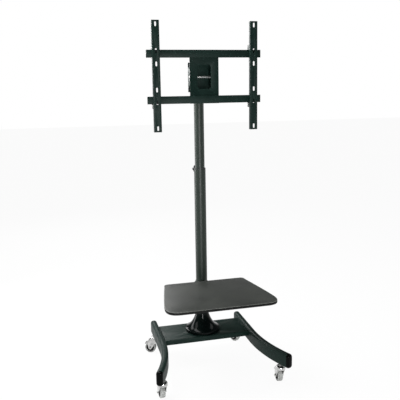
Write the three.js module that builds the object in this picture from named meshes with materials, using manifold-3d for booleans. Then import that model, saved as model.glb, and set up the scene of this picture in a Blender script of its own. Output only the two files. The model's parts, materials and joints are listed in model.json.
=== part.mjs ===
import * as THREE from 'three';
import { mergeVertices } from 'three/addons/utils/BufferGeometryUtils.js';
import Module from 'manifold-3d';

const wasm = await Module();
wasm.setup();

// Mobile stand: a wheeled base, a telescopic mast, a shelf and a tilting bracket with two upright arms.
// Lengths are in millimetres. X points right, Y to the back and Z up. The mast stands on X = 0, Y = 0.

const gap = 0.3;        // air between two pieces that touch
const runningGap = 0.4; // air around a piece that slides or turns
const overrun = 4;      // how far a cutting tool passes the faces that it cuts
const weldSink = 2;     // how far a welded part runs into the one that carries it

const leg = {
  innerSpan: 379, width: 28, height: 60, edgeRadius: 11, wall: 2, underside: 84,
  rearReach: 122, bendStart: 97, bendRadius: 648, bendDegrees: 25,
  rearStemInset: 22, frontStemInset: 43,
};

const legCap = { dome: 11, edgeInset: 8, rim: 1.5, spigot: 9, spigotFit: 0.6 };

const tray = { depth: 166, height: 22, sheet: 3, bendRadius: 3, drop: 13, ribX: 62 };

const foot = {
  plateRadius: 55, plateThickness: 8, boreRadius: 15, socketWall: 4.7, socketHeight: 35, weld: 3.5,
  boltCircleRadius: 43,
};

const footBolt = {
  radius: 4, headRadius: 7.5, headHeight: 5.5, washerRadius: 8.5, washerThickness: 1.6,
  nutHeight: 6.5, tail: 3,
};

const cover = {
  flangeRadius: 77, flangeEdge: 13, neckRadius: 28.5, flareHeight: 82, totalHeight: 98, wall: 2.2,
  mouthLip: 4, edge: 1.5,
};
const coverBend = { radiusShare: 0.3, heightShare: 0.24 };

const mast = {
  lowerRadius: 25, upperRadius: 21, wall: 2, lowerLength: 728, upperLength: 730, overlap: 270,
};

const bush = { length: 45, lipThickness: 2.5 };

const collar = {
  wall: 3.2, height: 22, topThickness: 3, edge: 1.2, bossRadius: 9, bossLength: 13, screwDrop: 14,
};

const glide = { bandHeight: 14, spigot: 18, boreRadius: 14 };

const mastCap = { crown: 4, edge: 1.5, spigot: 15 };

const knob = {
  radius: 20, thickness: 15, lobes: 6, lobeDepth: 2.6, edge: 2.5, screwRadius: 4, hubRadius: 9, hubLength: 4,
};

const shelf = {
  top: 373, thickness: 12, edge: 2, rearY: 42, frontY: 377, rearHalfWidth: 182, frontHalfWidth: 228,
  flareEndY: 285, rearCorner: 22, frontCorner: 54,
};

const shelfArm = {
  clampWall: 5.5, clampHeight: 46, plate: 3, spineHalfWidth: 30, reach: 290, barDepth: 34,
  rearBarY: 96, rearBarHalfWidth: 118, frontBarHalfWidth: 160, corner: 8,
  gussetX: 21, gussetThickness: 4, gussetReach: 235, gussetTip: 9, bossRadius: 9, bossLength: 10,
};

const head = {
  centreDrop: 75, sleeveHeight: 120, sleeveWall: 4.7, slit: 4, earReach: 19, earThickness: 7, screwSpread: 68,
  plateHalfWidth: 50, plateThickness: 4, cheekHalfHeight: 44, pivotReach: 43, cheekRadius: 20,
};

const tilt = {
  earThickness: 3, earRadius: 15, boltRadius: 4, pinRadius: 3, pinReach: 30, upDegrees: 5, downDegrees: 15,
  plateReach: 27, plateThickness: 4, plateHalfWidth: 60, plateHalfHeight: 106,
  windowWidth: 56, windowHeight: 96, windowCorner: 10, headRadius: 6.5, headLength: 5.5, earHalfHeight: 24,
};

const rail = { halfLength: 235, height: 30, depth: 12, wall: 2, spread: 180, sink: 0.5 };

const arm = {
  offset: 200, halfWidth: 15, halfHeight: 215, sheet: 2.5, spineDepth: 17, standOff: 19, hookHalfHeight: 34,
  hookReach: 5, lipHang: 10, slotWidth: 7, slotHeight: 18, screwRadius: 3,
  screwDrop: 5, boltHead: 5, boltHeadHeight: 3.5,
};
const screenHoleSpacings = { small: 100, medium: 200, large: 400 };

const caster = {
  wheelRadius: 25, tyreWidth: 21, tyreDepth: 6.5, shoulder: 3, trail: 22,
  hubRadius: 8, hubWidth: 24, webWidth: 7, rimWall: 2.6, axleRadius: 4, axleHeadRadius: 6.2, axleHead: 3.6,
  cheekGap: 25, cheek: 2.5, cheekFoot: 8, crownRadius: 20, crownTop: 78, crownBottom: 61.5, crownSkirt: 3,
  crownPlate: 5.5, crownShoulder: 8, cheekHalfTop: 12,
  stemRadius: 5, rivetRadius: 9, rivetHeight: 3, raceRadius: 11, raceHeight: 2.4, nutRadius: 8.5,
  innerNutRadius: 8, innerNut: 8,
};

const brake = {
  pivotReach: 29.5, pivotDegrees: 75, pinRadius: 2.2, bossRadius: 3.8, earRadius: 5.5, halfWidth: 11,
  shoeGap: 3, shoe: 2, toe: 1.8, pedalHalfWidth: 14, wideDegrees: 60, endDegrees: 38,
};

// Facet counts of round pieces
const sides = { large: 24, tube: 16, wheel: 20, crown: 12, hub: 10, small: 8, hex: 6 };
const arcSteps = { corner: 2, hidden: 1, bevel: 2, legPath: 8, flare: 6, lobe: 18, board: 4, shoe: 1 };

// Which way each caster trails, in degrees from straight back
const casterTurns = { frontLeft: 4, frontRight: -4, rearLeft: 66, rearRight: 34 };

// How near the flats of a faceted tube or small rod come to its axis, as a share of its radius
const tubeFlatShare = Math.cos(Math.PI / sides.tube);
const smallFlatShare = Math.cos(Math.PI / sides.small);

// Levels and places that follow from the sizes above
const legCentreX = leg.innerSpan / 2 + leg.width / 2;
const legCentreZ = leg.underside + leg.height / 2;
const legStraight = leg.rearReach + leg.bendStart;
const legBend = THREE.MathUtils.degToRad(leg.bendDegrees);
const legLength = legStraight + leg.bendRadius * legBend;

const trayTop = leg.underside + leg.height - tray.drop;
const trayLength = leg.innerSpan - 2 * gap;
const footBottom = trayTop + gap;
const footTop = footBottom + foot.plateThickness;
const lowerBottom = footTop + gap;
const lowerTop = lowerBottom + mast.lowerLength;
const lowerBore = mast.lowerRadius - mast.wall;
const upperBore = mast.upperRadius - mast.wall;
const upperWay = (mast.upperRadius + gap) / tubeFlatShare;
const upperBottom = lowerTop - mast.overlap;
const upperTop = upperBottom + mast.upperLength;

const bushTop = lowerTop + gap + bush.lipThickness;
const collarTop = bushTop + gap + collar.topThickness;
const collarBottom = collarTop - collar.height;
const collarScrewZ = collarTop - collar.screwDrop;
const collarBossEnd = mast.lowerRadius + gap + collar.wall + collar.bossLength;

const shelfUnder = shelf.top - shelf.thickness;
const shelfPlateTop = shelfUnder - gap;
const shelfClampTop = shelfPlateTop - shelfArm.plate - gap;
const shelfScrewZ = shelfClampTop - shelfArm.clampHeight / 2;
const shelfClampRadius = mast.lowerRadius + runningGap + shelfArm.clampWall;

const headZ = upperTop - head.centreDrop;
const sleeveRadius = mast.upperRadius + gap + head.sleeveWall;
const yokeFace = sleeveRadius + head.plateThickness - weldSink;
const pivotY = -(yokeFace + head.pivotReach);
const cheekInner = head.plateHalfWidth - head.plateThickness;
const earOuter = cheekInner - gap;
const earInner = earOuter - tilt.earThickness;
const framePlateBack = pivotY - tilt.plateReach;
const framePlateFront = framePlateBack - tilt.plateThickness;
const railBack = framePlateFront + rail.sink;
const railFront = railBack - rail.depth;
const armFace = railFront - arm.standOff;

const axleZ = caster.wheelRadius * Math.cos(Math.PI / sides.wheel);
const pivotTurn = THREE.MathUtils.degToRad(brake.pivotDegrees);
const brakePivot = new THREE.Vector2(
  caster.trail + brake.pivotReach * Math.cos(pivotTurn),
  axleZ + brake.pivotReach * Math.sin(pivotTurn),
);

// Paints and plastics
const finishes = {
  satinBlack: { color: 0x3c3e3a, roughness: 0.5, metalness: 0.35 },
  glossBlack: { color: 0x0c0d0d, roughness: 0.12, metalness: 0.0 },
  blackPlastic: { color: 0x17181a, roughness: 0.45, metalness: 0.0 },
  shelfBlack: { color: 0x2b2c2b, roughness: 0.4, metalness: 0.0 },
  nylon: { color: 0x2a2b2d, roughness: 0.6, metalness: 0.0 },
  chrome: { color: 0xd6d8da, roughness: 0.1, metalness: 1.0 },
  zinc: { color: 0xa9abab, roughness: 0.35, metalness: 0.9 },
  greyRubber: { color: 0x8d8f8e, roughness: 0.8, metalness: 0.0 },
};

const stand = new THREE.Group();
const assembly = new THREE.Group();
stand.add(assembly);

// Solid helpers
function solidOf(geometry) {
  const bare = geometry.clone();
  bare.deleteAttribute('normal');
  bare.deleteAttribute('uv');
  const welded = mergeVertices(bare);
  return new wasm.Manifold(new wasm.Mesh({
    numProp: 3,
    vertProperties: Float32Array.from(welded.attributes.position.array),
    triVerts: Uint32Array.from(welded.index.array),
  }));
}

function geometryOf(solid) {
  const mesh = solid.getMesh();
  const geometry = new THREE.BufferGeometry();
  geometry.setAttribute('position', new THREE.BufferAttribute(mesh.vertProperties.slice(), 3));
  geometry.setIndex(new THREE.BufferAttribute(mesh.triVerts.slice(), 1));
  geometry.computeVertexNormals();
  return geometry;
}

function join(...geometries) {
  return geometryOf(geometries.map(solidOf).reduce((whole, piece) => whole.add(piece)));
}

function cut(geometry, ...tools) {
  return geometryOf(tools.map(solidOf).reduce((whole, tool) => whole.subtract(tool), solidOf(geometry)));
}

function common(geometry, tool) {
  return geometryOf(solidOf(geometry).intersect(solidOf(tool)));
}

function block(x0, x1, y0, y1, z0, z1) {
  const box = new THREE.BoxGeometry(x1 - x0, y1 - y0, z1 - z0);
  return box.translate((x0 + x1) / 2, (y0 + y1) / 2, (z0 + z1) / 2);
}

function rodZ(radius, z0, z1, count = sides.small, x = 0, y = 0) {
  const rod = new THREE.CylinderGeometry(radius, radius, z1 - z0, count);
  return rod.rotateX(Math.PI / 2).translate(x, y, (z0 + z1) / 2);
}

function rodX(radius, x0, x1, y, z, count = sides.small) {
  const rod = new THREE.CylinderGeometry(radius, radius, x1 - x0, count);
  return rod.rotateZ(Math.PI / 2).translate((x0 + x1) / 2, y, z);
}

function rodY(radius, y0, y1, x, z, count = sides.small) {
  const rod = new THREE.CylinderGeometry(radius, radius, y1 - y0, count);
  return rod.translate(x, (y0 + y1) / 2, z);
}

// A closed profile of [radius, height] pairs turned round Z
function revolve(profile, count = sides.tube, start = 0) {
  const points = profile.map(([radius, height]) => new THREE.Vector2(radius, height));
  if (profile[0][0] !== 0) points.push(points[0].clone());
  const turned = new THREE.LatheGeometry(points, count, start).rotateX(Math.PI / 2);
  return geometryOf(solidOf(turned));
}

// A shape in X and Y raised along Z
function prism(shape, z0, z1, arcs = arcSteps.corner) {
  const options = { depth: z1 - z0, bevelEnabled: false, curveSegments: arcs };
  return new THREE.ExtrudeGeometry(shape, options).translate(0, 0, z0);
}

// A shape in Y and Z carried along X
function sidePrism(shape, x0, x1) {
  const turn = new THREE.Matrix4().makeBasis(
    new THREE.Vector3(0, 1, 0), new THREE.Vector3(0, 0, 1), new THREE.Vector3(1, 0, 0));
  return prism(shape, 0, x1 - x0).applyMatrix4(turn).translate(x0, 0, 0);
}

function roundedBox(halfWidth, halfHeight, radius, centreX = 0, centreY = 0) {
  const shape = new THREE.Shape();
  const x = halfWidth - radius;
  const y = halfHeight - radius;
  shape.absarc(centreX + x, centreY + y, radius, 0, Math.PI / 2);
  shape.absarc(centreX - x, centreY + y, radius, Math.PI / 2, Math.PI);
  shape.absarc(centreX - x, centreY - y, radius, Math.PI, 1.5 * Math.PI);
  shape.absarc(centreX + x, centreY - y, radius, 1.5 * Math.PI, 2 * Math.PI);
  shape.closePath();
  return shape;
}

function addPiece(group, name, geometry, finish) {
  const piece = new THREE.Mesh(geometry, new THREE.MeshStandardMaterial(finishes[finish]));
  piece.name = name;
  group.add(piece);
  return piece;
}

// Legs: flat-oval tubes that run straight beside the tray and then curve outward to the front
function legPoint(side, along) {
  const turned = Math.max(0, along - legStraight) / leg.bendRadius;
  const x = legCentreX + leg.bendRadius * (1 - Math.cos(turned));
  const y = leg.rearReach - Math.min(along, legStraight) - leg.bendRadius * Math.sin(turned);
  return new THREE.Vector3(side * x, y, legCentreZ);
}

class LegLine extends THREE.Curve {
  constructor(side) {
    super();
    this.side = side;
  }

  getPoint(share, target = new THREE.Vector3()) {
    return target.copy(legPoint(this.side, share * legLength));
  }
}

function legStem(side, isFront) {
  return legPoint(side, isFront ? legLength - leg.frontStemInset : leg.rearStemInset);
}

// The bore of a leg, or what fits in it, with the given clearance
function legBore(halfAcross, halfUp, fit) {
  const inset = leg.wall + fit;
  const outline = roundedBox(halfAcross - inset, halfUp - inset, leg.edgeRadius - inset);
  return new THREE.Shape(outline.getPoints(arcSteps.hidden));
}

function legTube(side) {
  const section = roundedBox(leg.height / 2, leg.width / 2, leg.edgeRadius);
  section.holes.push(legBore(leg.height / 2, leg.width / 2, 0));
  const tube = new THREE.ExtrudeGeometry(section, {
    steps: arcSteps.legPath, curveSegments: arcSteps.corner, bevelEnabled: false,
    extrudePath: new LegLine(side),
  });
  const holes = [true, false].map((isFront) => {
    const stem = legStem(side, isFront);
    const top = leg.underside + leg.wall + overrun;
    return rodZ(caster.stemRadius + gap, leg.underside - overrun, top, sides.small, stem.x, stem.y);
  });
  return cut(tube, ...holes);
}

// Leg cap: a domed oval plug, its dome along +Y and its spigot in the tube
function legCapSolid() {
  const inset = legCap.edgeInset;
  const core = roundedBox(leg.width / 2 - inset, leg.height / 2 - inset, leg.edgeRadius - inset);
  const pillow = new THREE.ExtrudeGeometry(core, {
    depth: legCap.rim + overrun, curveSegments: arcSteps.corner, bevelEnabled: true,
    bevelThickness: legCap.dome, bevelSize: inset, bevelSegments: arcSteps.bevel,
  }).translate(0, 0, -overrun);
  const front = legCap.rim + legCap.dome + overrun;
  const keep = block(-leg.width, leg.width, -leg.height, leg.height, 0, front);
  const spigot = legBore(leg.width / 2, leg.height / 2, legCap.spigotFit);
  return join(common(pillow, keep), prism(spigot, -legCap.spigot, gap)).rotateX(-Math.PI / 2);
}

function buildLeg(side, sideName) {
  addPiece(assembly, `leg_${sideName}`, legTube(side), 'satinBlack');
  const ends = [['rear', 0, 0], ['front', legLength, Math.PI + side * legBend]];
  for (const [endName, along, turn] of ends) {
    const cap = addPiece(assembly, `leg_cap_${endName}_${sideName}`, legCapSolid(), 'glossBlack');
    const outward = new THREE.Vector3(-Math.sin(turn), Math.cos(turn), 0);
    cap.position.copy(legPoint(side, along)).addScaledVector(outward, gap);
    cap.rotation.z = turn;
  }
}

// Tray: a pressed steel bridge between the legs, open below, with stiffening ribs
function trayProfile() {
  const half = tray.depth / 2;
  const shape = new THREE.Shape();
  shape.moveTo(-half, trayTop - tray.height);
  shape.lineTo(half, trayTop - tray.height);
  shape.absarc(half - tray.bendRadius, trayTop - tray.bendRadius, tray.bendRadius, 0, Math.PI / 2);
  shape.absarc(tray.bendRadius - half, trayTop - tray.bendRadius, tray.bendRadius, Math.PI / 2, Math.PI);
  shape.closePath();
  return shape;
}

function footBoltPlaces() {
  return [1, 3, 5, 7].map((eighth) => {
    const turn = eighth * Math.PI / 4;
    return [foot.boltCircleRadius * Math.cos(turn), foot.boltCircleRadius * Math.sin(turn)];
  });
}

function buildTray() {
  const half = tray.sheet / 2;
  const endX = trayLength / 2 - half;
  const endY = tray.depth / 2 - half;
  const linesX = [-endX, -tray.ribX, tray.ribX, endX];
  const linesY = [-endY, 0, endY];
  const pockets = [];
  for (let i = 1; i < linesX.length; i += 1) {
    for (let j = 1; j < linesY.length; j += 1) {
      pockets.push(block(
        linesX[i - 1] + half, linesX[i] - half, linesY[j - 1] + half, linesY[j] - half,
        trayTop - tray.height - overrun, trayTop - tray.sheet));
    }
  }
  const holes = footBoltPlaces().map(([x, y]) => rodZ(
    footBolt.radius + gap, trayTop - tray.sheet - overrun, trayTop + overrun, sides.small, x, y));
  const body = sidePrism(trayProfile(), -trayLength / 2, trayLength / 2);
  addPiece(assembly, 'base_tray', cut(body, ...pockets, ...holes), 'satinBlack');
}

// Foot: a flanged socket bolted to the tray, which holds the lower mast tube
function buildFoot() {
  const socketInner = mast.lowerRadius + gap;
  const socketOuter = socketInner + foot.socketWall;
  const socketTop = footTop + foot.socketHeight;
  const flange = revolve([
    [foot.boreRadius, footBottom], [foot.plateRadius, footBottom], [foot.plateRadius, footTop],
    [socketOuter + foot.weld, footTop], [socketOuter, footTop + foot.weld], [socketOuter, socketTop],
    [socketInner, socketTop], [socketInner, footTop], [foot.boreRadius, footTop],
  ]);
  const holes = footBoltPlaces().map(([x, y]) => rodZ(
    footBolt.radius + gap, footBottom - overrun, footTop + overrun, sides.small, x, y));
  addPiece(assembly, 'mast_foot', cut(flange, ...holes), 'satinBlack');

  footBoltPlaces().forEach(([x, y], index) => {
    const seat = footTop + gap;
    const headTop = seat + footBolt.washerThickness + footBolt.headHeight;
    const under = trayTop - tray.sheet - gap;
    const nutBottom = under - footBolt.nutHeight;
    addPiece(assembly, `foot_bolt_${index + 1}`, join(
      rodZ(footBolt.radius, nutBottom - footBolt.tail, headTop - footBolt.tail, sides.small, x, y),
      rodZ(footBolt.washerRadius, seat, seat + footBolt.washerThickness, sides.small, x, y),
      rodZ(footBolt.headRadius, seat, headTop, sides.hex, x, y),
      rodZ(footBolt.headRadius, nutBottom, under, sides.hex, x, y),
    ), 'zinc');
  });
}

// Base cover: a glossy bell that hides the foot, turned with a thin wall
function flareLine(offset) {
  const bottom = trayTop + gap + cover.flangeEdge;
  const top = trayTop + gap + cover.flareHeight;
  const outer = cover.flangeRadius - cover.edge - offset;
  const inner = cover.neckRadius - offset;
  const bend = new THREE.Vector2(
    inner + coverBend.radiusShare * (outer - inner), bottom + coverBend.heightShare * (top - bottom));
  const line = new THREE.QuadraticBezierCurve(
    new THREE.Vector2(outer, bottom), bend, new THREE.Vector2(inner, top));
  return line.getPoints(arcSteps.flare).map((point) => [point.x, point.y]);
}

function buildCover() {
  const bottom = trayTop + gap;
  const top = bottom + cover.totalHeight;
  const mouth = mast.lowerRadius + gap;
  const lip = top - cover.mouthLip;
  addPiece(assembly, 'base_cover', revolve([
    [cover.flangeRadius - cover.wall, bottom], [cover.flangeRadius, bottom],
    [cover.flangeRadius, bottom + cover.flangeEdge - cover.edge],
    ...flareLine(0),
    [cover.neckRadius, top - cover.edge], [cover.neckRadius - cover.edge, top],
    [mouth, top], [mouth, lip], [cover.neckRadius - cover.wall, lip],
    ...flareLine(cover.wall).reverse(),
  ], sides.large), 'glossBlack');
}

// Mast: two telescopic tubes with a bush, a screw collar, a glide and an end cap
function starKnob(length) {
  const outline = new THREE.Shape();
  for (let step = 0; step < arcSteps.lobe; step += 1) {
    const turn = 2 * Math.PI * step / arcSteps.lobe;
    const radius = knob.radius - knob.edge - knob.lobeDepth * (1 - Math.cos(knob.lobes * turn)) / 2;
    const place = [radius * Math.cos(turn), radius * Math.sin(turn)];
    if (step === 0) outline.moveTo(...place);
    else outline.lineTo(...place);
  }
  outline.closePath();
  const grip = new THREE.ExtrudeGeometry(outline, {
    depth: knob.thickness - 2 * knob.edge, bevelEnabled: true,
    bevelThickness: knob.edge, bevelSize: knob.edge, bevelSegments: 1,
  }).translate(0, 0, knob.hubLength + knob.edge);
  return join(
    grip,
    rodZ(knob.hubRadius, 0, knob.hubLength + knob.edge + overrun),
    rodZ(knob.screwRadius, -length, knob.hubLength),
  );
}

function buildMast() {
  const holeRadius = knob.screwRadius + runningGap;
  const hole = rodY(holeRadius, 0, mast.lowerRadius + overrun, 0, collarScrewZ);
  const lower = revolve([
    [lowerBore, lowerBottom], [mast.lowerRadius, lowerBottom],
    [mast.lowerRadius, lowerTop], [lowerBore, lowerTop],
  ]);
  addPiece(assembly, 'mast_lower', cut(lower, hole), 'satinBlack');

  const bushOuter = lowerBore - gap;
  const bushBody = revolve([
    [upperWay, lowerTop - bush.length], [bushOuter, lowerTop - bush.length], [bushOuter, lowerTop + gap],
    [mast.lowerRadius, lowerTop + gap], [mast.lowerRadius, bushTop], [upperWay, bushTop],
  ]);
  addPiece(assembly, 'mast_bush', cut(bushBody, hole), 'nylon');

  const collarInner = mast.lowerRadius + gap;
  const collarOuter = collarInner + collar.wall;
  const ring = revolve([
    [collarInner, collarBottom], [collarOuter - collar.edge, collarBottom],
    [collarOuter, collarBottom + collar.edge], [collarOuter, collarTop - collar.edge],
    [collarOuter - collar.edge, collarTop], [upperWay, collarTop],
    [upperWay, collarTop - collar.topThickness],
    [collarInner, collarTop - collar.topThickness],
  ]);
  const boss = rodY(collar.bossRadius, collarInner + collar.wall / 2, collarBossEnd, 0, collarScrewZ);
  const bossBore = rodY(holeRadius, 0, collarBossEnd + overrun, 0, collarScrewZ);
  addPiece(assembly, 'height_collar', cut(join(ring, boss), bossBore), 'blackPlastic');

  const heightScrew = collarBossEnd - mast.upperRadius;
  const heightKnob = addPiece(assembly, 'height_knob', starKnob(heightScrew), 'blackPlastic');
  heightKnob.position.set(0, collarBossEnd + gap, collarScrewZ);
  heightKnob.rotation.x = -Math.PI / 2;

  addPiece(assembly, 'mast_upper', revolve([
    [upperBore, upperBottom], [mast.upperRadius, upperBottom],
    [mast.upperRadius, upperTop], [upperBore, upperTop],
  ]), 'satinBlack');

  // The upper tube turns on the glide's spigot
  const spigotRadius = upperBore * tubeFlatShare - gap;
  const bandRadius = lowerBore - runningGap;
  addPiece(assembly, 'mast_glide', revolve([
    [glide.boreRadius, upperBottom - glide.bandHeight], [bandRadius, upperBottom - glide.bandHeight],
    [bandRadius, upperBottom - gap], [spigotRadius, upperBottom - gap],
    [spigotRadius, upperBottom + glide.spigot], [glide.boreRadius, upperBottom + glide.spigot],
  ]), 'nylon');

  const capBottom = upperTop + gap;
  const plugRadius = upperBore - gap;
  addPiece(assembly, 'mast_cap', revolve([
    [0, upperTop - mastCap.spigot], [plugRadius, upperTop - mastCap.spigot], [plugRadius, capBottom],
    [mast.upperRadius, capBottom], [mast.upperRadius, capBottom + mastCap.crown - mastCap.edge],
    [mast.upperRadius - mastCap.edge, capBottom + mastCap.crown], [0, capBottom + mastCap.crown],
  ]), 'blackPlastic');
}

// Shelf: a flared board on a steel arm that clamps round the lower mast
function shelfOutline() {
  const inset = shelf.edge;
  const rear = shelf.rearHalfWidth - inset;
  const front = shelf.frontHalfWidth - inset;
  const rearY = -shelf.rearY - inset;
  const frontY = inset - shelf.frontY;
  const shape = new THREE.Shape();
  shape.moveTo(rear - shelf.rearCorner, rearY);
  shape.lineTo(shelf.rearCorner - rear, rearY);
  shape.quadraticCurveTo(-rear, rearY, -rear, rearY - shelf.rearCorner);
  shape.quadraticCurveTo(-front, -shelf.flareEndY, -front, frontY + shelf.frontCorner);
  shape.quadraticCurveTo(-front, frontY, shelf.frontCorner - front, frontY);
  shape.lineTo(front - shelf.frontCorner, frontY);
  shape.quadraticCurveTo(front, frontY, front, frontY + shelf.frontCorner);
  shape.quadraticCurveTo(front, -shelf.flareEndY, rear, rearY - shelf.rearCorner);
  shape.quadraticCurveTo(rear, rearY, rear - shelf.rearCorner, rearY);
  return shape;
}

function buildShelf() {
  addPiece(assembly, 'shelf_board', geometryOf(solidOf(new THREE.ExtrudeGeometry(shelfOutline(), {
    depth: shelf.thickness - 2 * shelf.edge, curveSegments: arcSteps.board, bevelEnabled: true,
    bevelThickness: shelf.edge, bevelSize: shelf.edge, bevelSegments: arcSteps.bevel,
  }).translate(0, 0, shelfUnder + shelf.edge))), 'shelfBlack');

  const plateBottom = shelfPlateTop - shelfArm.plate;
  const clampBottom = shelfClampTop - shelfArm.clampHeight;
  const bar = (y, halfWidth) => prism(
    roundedBox(halfWidth, shelfArm.barDepth / 2, shelfArm.corner, 0, -y),
    plateBottom, shelfPlateTop, arcSteps.hidden);
  const spineMiddle = (shelf.rearY + shelfArm.reach) / 2;
  const spine = prism(
    roundedBox(shelfArm.spineHalfWidth, (shelfArm.reach - shelf.rearY) / 2, shelfArm.corner, 0, -spineMiddle),
    plateBottom, shelfPlateTop, arcSteps.hidden);
  const gusset = new THREE.Shape();
  const gussetBack = shelfArm.clampWall - mast.lowerRadius;
  gusset.moveTo(gussetBack, plateBottom + gap);
  gusset.lineTo(-shelfArm.gussetReach, plateBottom + gap);
  gusset.lineTo(-shelfArm.gussetReach, plateBottom - shelfArm.gussetTip);
  gusset.quadraticCurveTo(-shelf.rearY, plateBottom - shelfArm.gussetTip, gussetBack, clampBottom);
  gusset.closePath();
  const gussets = [-1, 1].map((side) => {
    const middle = side * shelfArm.gussetX;
    return sidePrism(gusset, middle - shelfArm.gussetThickness / 2, middle + shelfArm.gussetThickness / 2);
  });
  const bossEnd = shelfClampRadius + shelfArm.bossLength;
  const frame = join(
    rodZ(shelfClampRadius, clampBottom, shelfClampTop, sides.tube),
    spine, bar(shelfArm.rearBarY, shelfArm.rearBarHalfWidth),
    bar(shelfArm.reach - shelfArm.barDepth / 2, shelfArm.frontBarHalfWidth),
    ...gussets,
    rodY(shelfArm.bossRadius, mast.lowerRadius + gap, bossEnd, 0, shelfScrewZ),
  );
  addPiece(assembly, 'shelf_bracket', cut(
    frame,
    rodZ(mast.lowerRadius + runningGap, clampBottom - overrun, shelf.top, sides.tube),
    rodY(knob.screwRadius + runningGap, 0, bossEnd + overrun, 0, shelfScrewZ),
  ), 'satinBlack');

  const shelfScrew = bossEnd - mast.lowerRadius;
  const shelfKnob = addPiece(assembly, 'shelf_knob', starKnob(shelfScrew), 'blackPlastic');
  shelfKnob.position.set(0, bossEnd + gap, shelfScrewZ);
  shelfKnob.rotation.x = -Math.PI / 2;
}

// Yoke: a split sleeve on the mast top with a plate and two cheeks that carry the tilt pivot
function cheekOutline() {
  const shape = new THREE.Shape();
  const back = -yokeFace + head.plateThickness / 2;
  shape.moveTo(back, headZ - head.cheekHalfHeight);
  shape.lineTo(back, headZ + head.cheekHalfHeight);
  shape.lineTo(-yokeFace - head.plateThickness, headZ + head.cheekHalfHeight);
  shape.absarc(pivotY, headZ, head.cheekRadius, Math.PI / 2, 1.5 * Math.PI);
  shape.lineTo(-yokeFace - head.plateThickness, headZ - head.cheekHalfHeight);
  shape.closePath();
  return shape;
}

// Curved slot round the pivot, which lets the stop pin travel between the two tilt limits
function stopSlot() {
  const halfWidth = tilt.pinRadius + runningGap;
  const low = -THREE.MathUtils.degToRad(tilt.upDegrees);
  const high = THREE.MathUtils.degToRad(tilt.downDegrees);
  const shape = new THREE.Shape();
  const end = (turn) => [pivotY + tilt.pinReach * Math.cos(turn), headZ + tilt.pinReach * Math.sin(turn)];
  shape.absarc(pivotY, headZ, tilt.pinReach + halfWidth, low, high);
  shape.absarc(...end(high), halfWidth, high, high + Math.PI);
  shape.absarc(pivotY, headZ, tilt.pinReach - halfWidth, high, low, true);
  shape.absarc(...end(low), halfWidth, low + Math.PI, low + 2 * Math.PI);
  return shape;
}

function buildYoke() {
  const low = headZ - head.sleeveHeight / 2;
  const high = headZ + head.sleeveHeight / 2;
  const earEnd = sleeveRadius + head.earReach;
  const earOut = head.slit / 2 + head.earThickness;
  const across = head.plateHalfWidth;
  const body = join(
    rodZ(sleeveRadius, low, high, sides.tube),
    block(-earOut, earOut, sleeveRadius - overrun, earEnd, low, high),
    block(-across, across, -yokeFace, -yokeFace + head.plateThickness, low, high),
    sidePrism(cheekOutline(), -across, -cheekInner),
    sidePrism(cheekOutline(), cheekInner, across),
  );
  const screwY = (sleeveRadius + earEnd) / 2;
  const screwHeights = [headZ + head.screwSpread / 2, headZ - head.screwSpread / 2];
  const screwHoles = screwHeights.map(
    (z) => rodX(footBolt.radius + gap, -earOut - overrun, earOut + overrun, screwY, z));
  addPiece(assembly, 'tilt_yoke', cut(
    body,
    rodZ(mast.upperRadius + gap, low - overrun, high + overrun, sides.tube),
    block(-head.slit / 2, head.slit / 2, 0, earEnd + overrun, low - overrun, high + overrun),
    rodX(tilt.boltRadius + gap, -across - overrun, across + overrun, pivotY, headZ),
    sidePrism(stopSlot(), -across - overrun, across + overrun),
    ...screwHoles,
  ), 'satinBlack');

  screwHeights.forEach((z, index) => {
    const seat = earOut + gap;
    addPiece(assembly, `head_screw_${index + 1}`, join(
      rodX(footBolt.radius, -seat - footBolt.nutHeight - footBolt.tail, seat + footBolt.tail, screwY, z),
      rodX(footBolt.headRadius, seat, seat + footBolt.headHeight, screwY, z, sides.hex),
      rodX(footBolt.headRadius, -seat - footBolt.nutHeight, -seat, screwY, z, sides.hex),
    ), 'zinc');
  });

  const boltSeat = across + gap;
  addPiece(assembly, 'tilt_bolt', join(
    rodX(tilt.boltRadius, -boltSeat - tilt.headLength / 2, boltSeat + knob.thickness / 2, pivotY, headZ),
    rodX(tilt.headRadius, -boltSeat - tilt.headLength, -boltSeat, pivotY, headZ, sides.hex),
  ), 'zinc');

  const boreDepth = knob.thickness / 2 + gap;
  const grip = cut(starKnob(-knob.hubLength / 2), rodZ(tilt.boltRadius + runningGap, -overrun, boreDepth));
  const tiltKnob = addPiece(assembly, 'tilt_knob', grip, 'blackPlastic');
  tiltKnob.position.set(boltSeat, pivotY, headZ);
  tiltKnob.rotation.y = Math.PI / 2;
}

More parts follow.
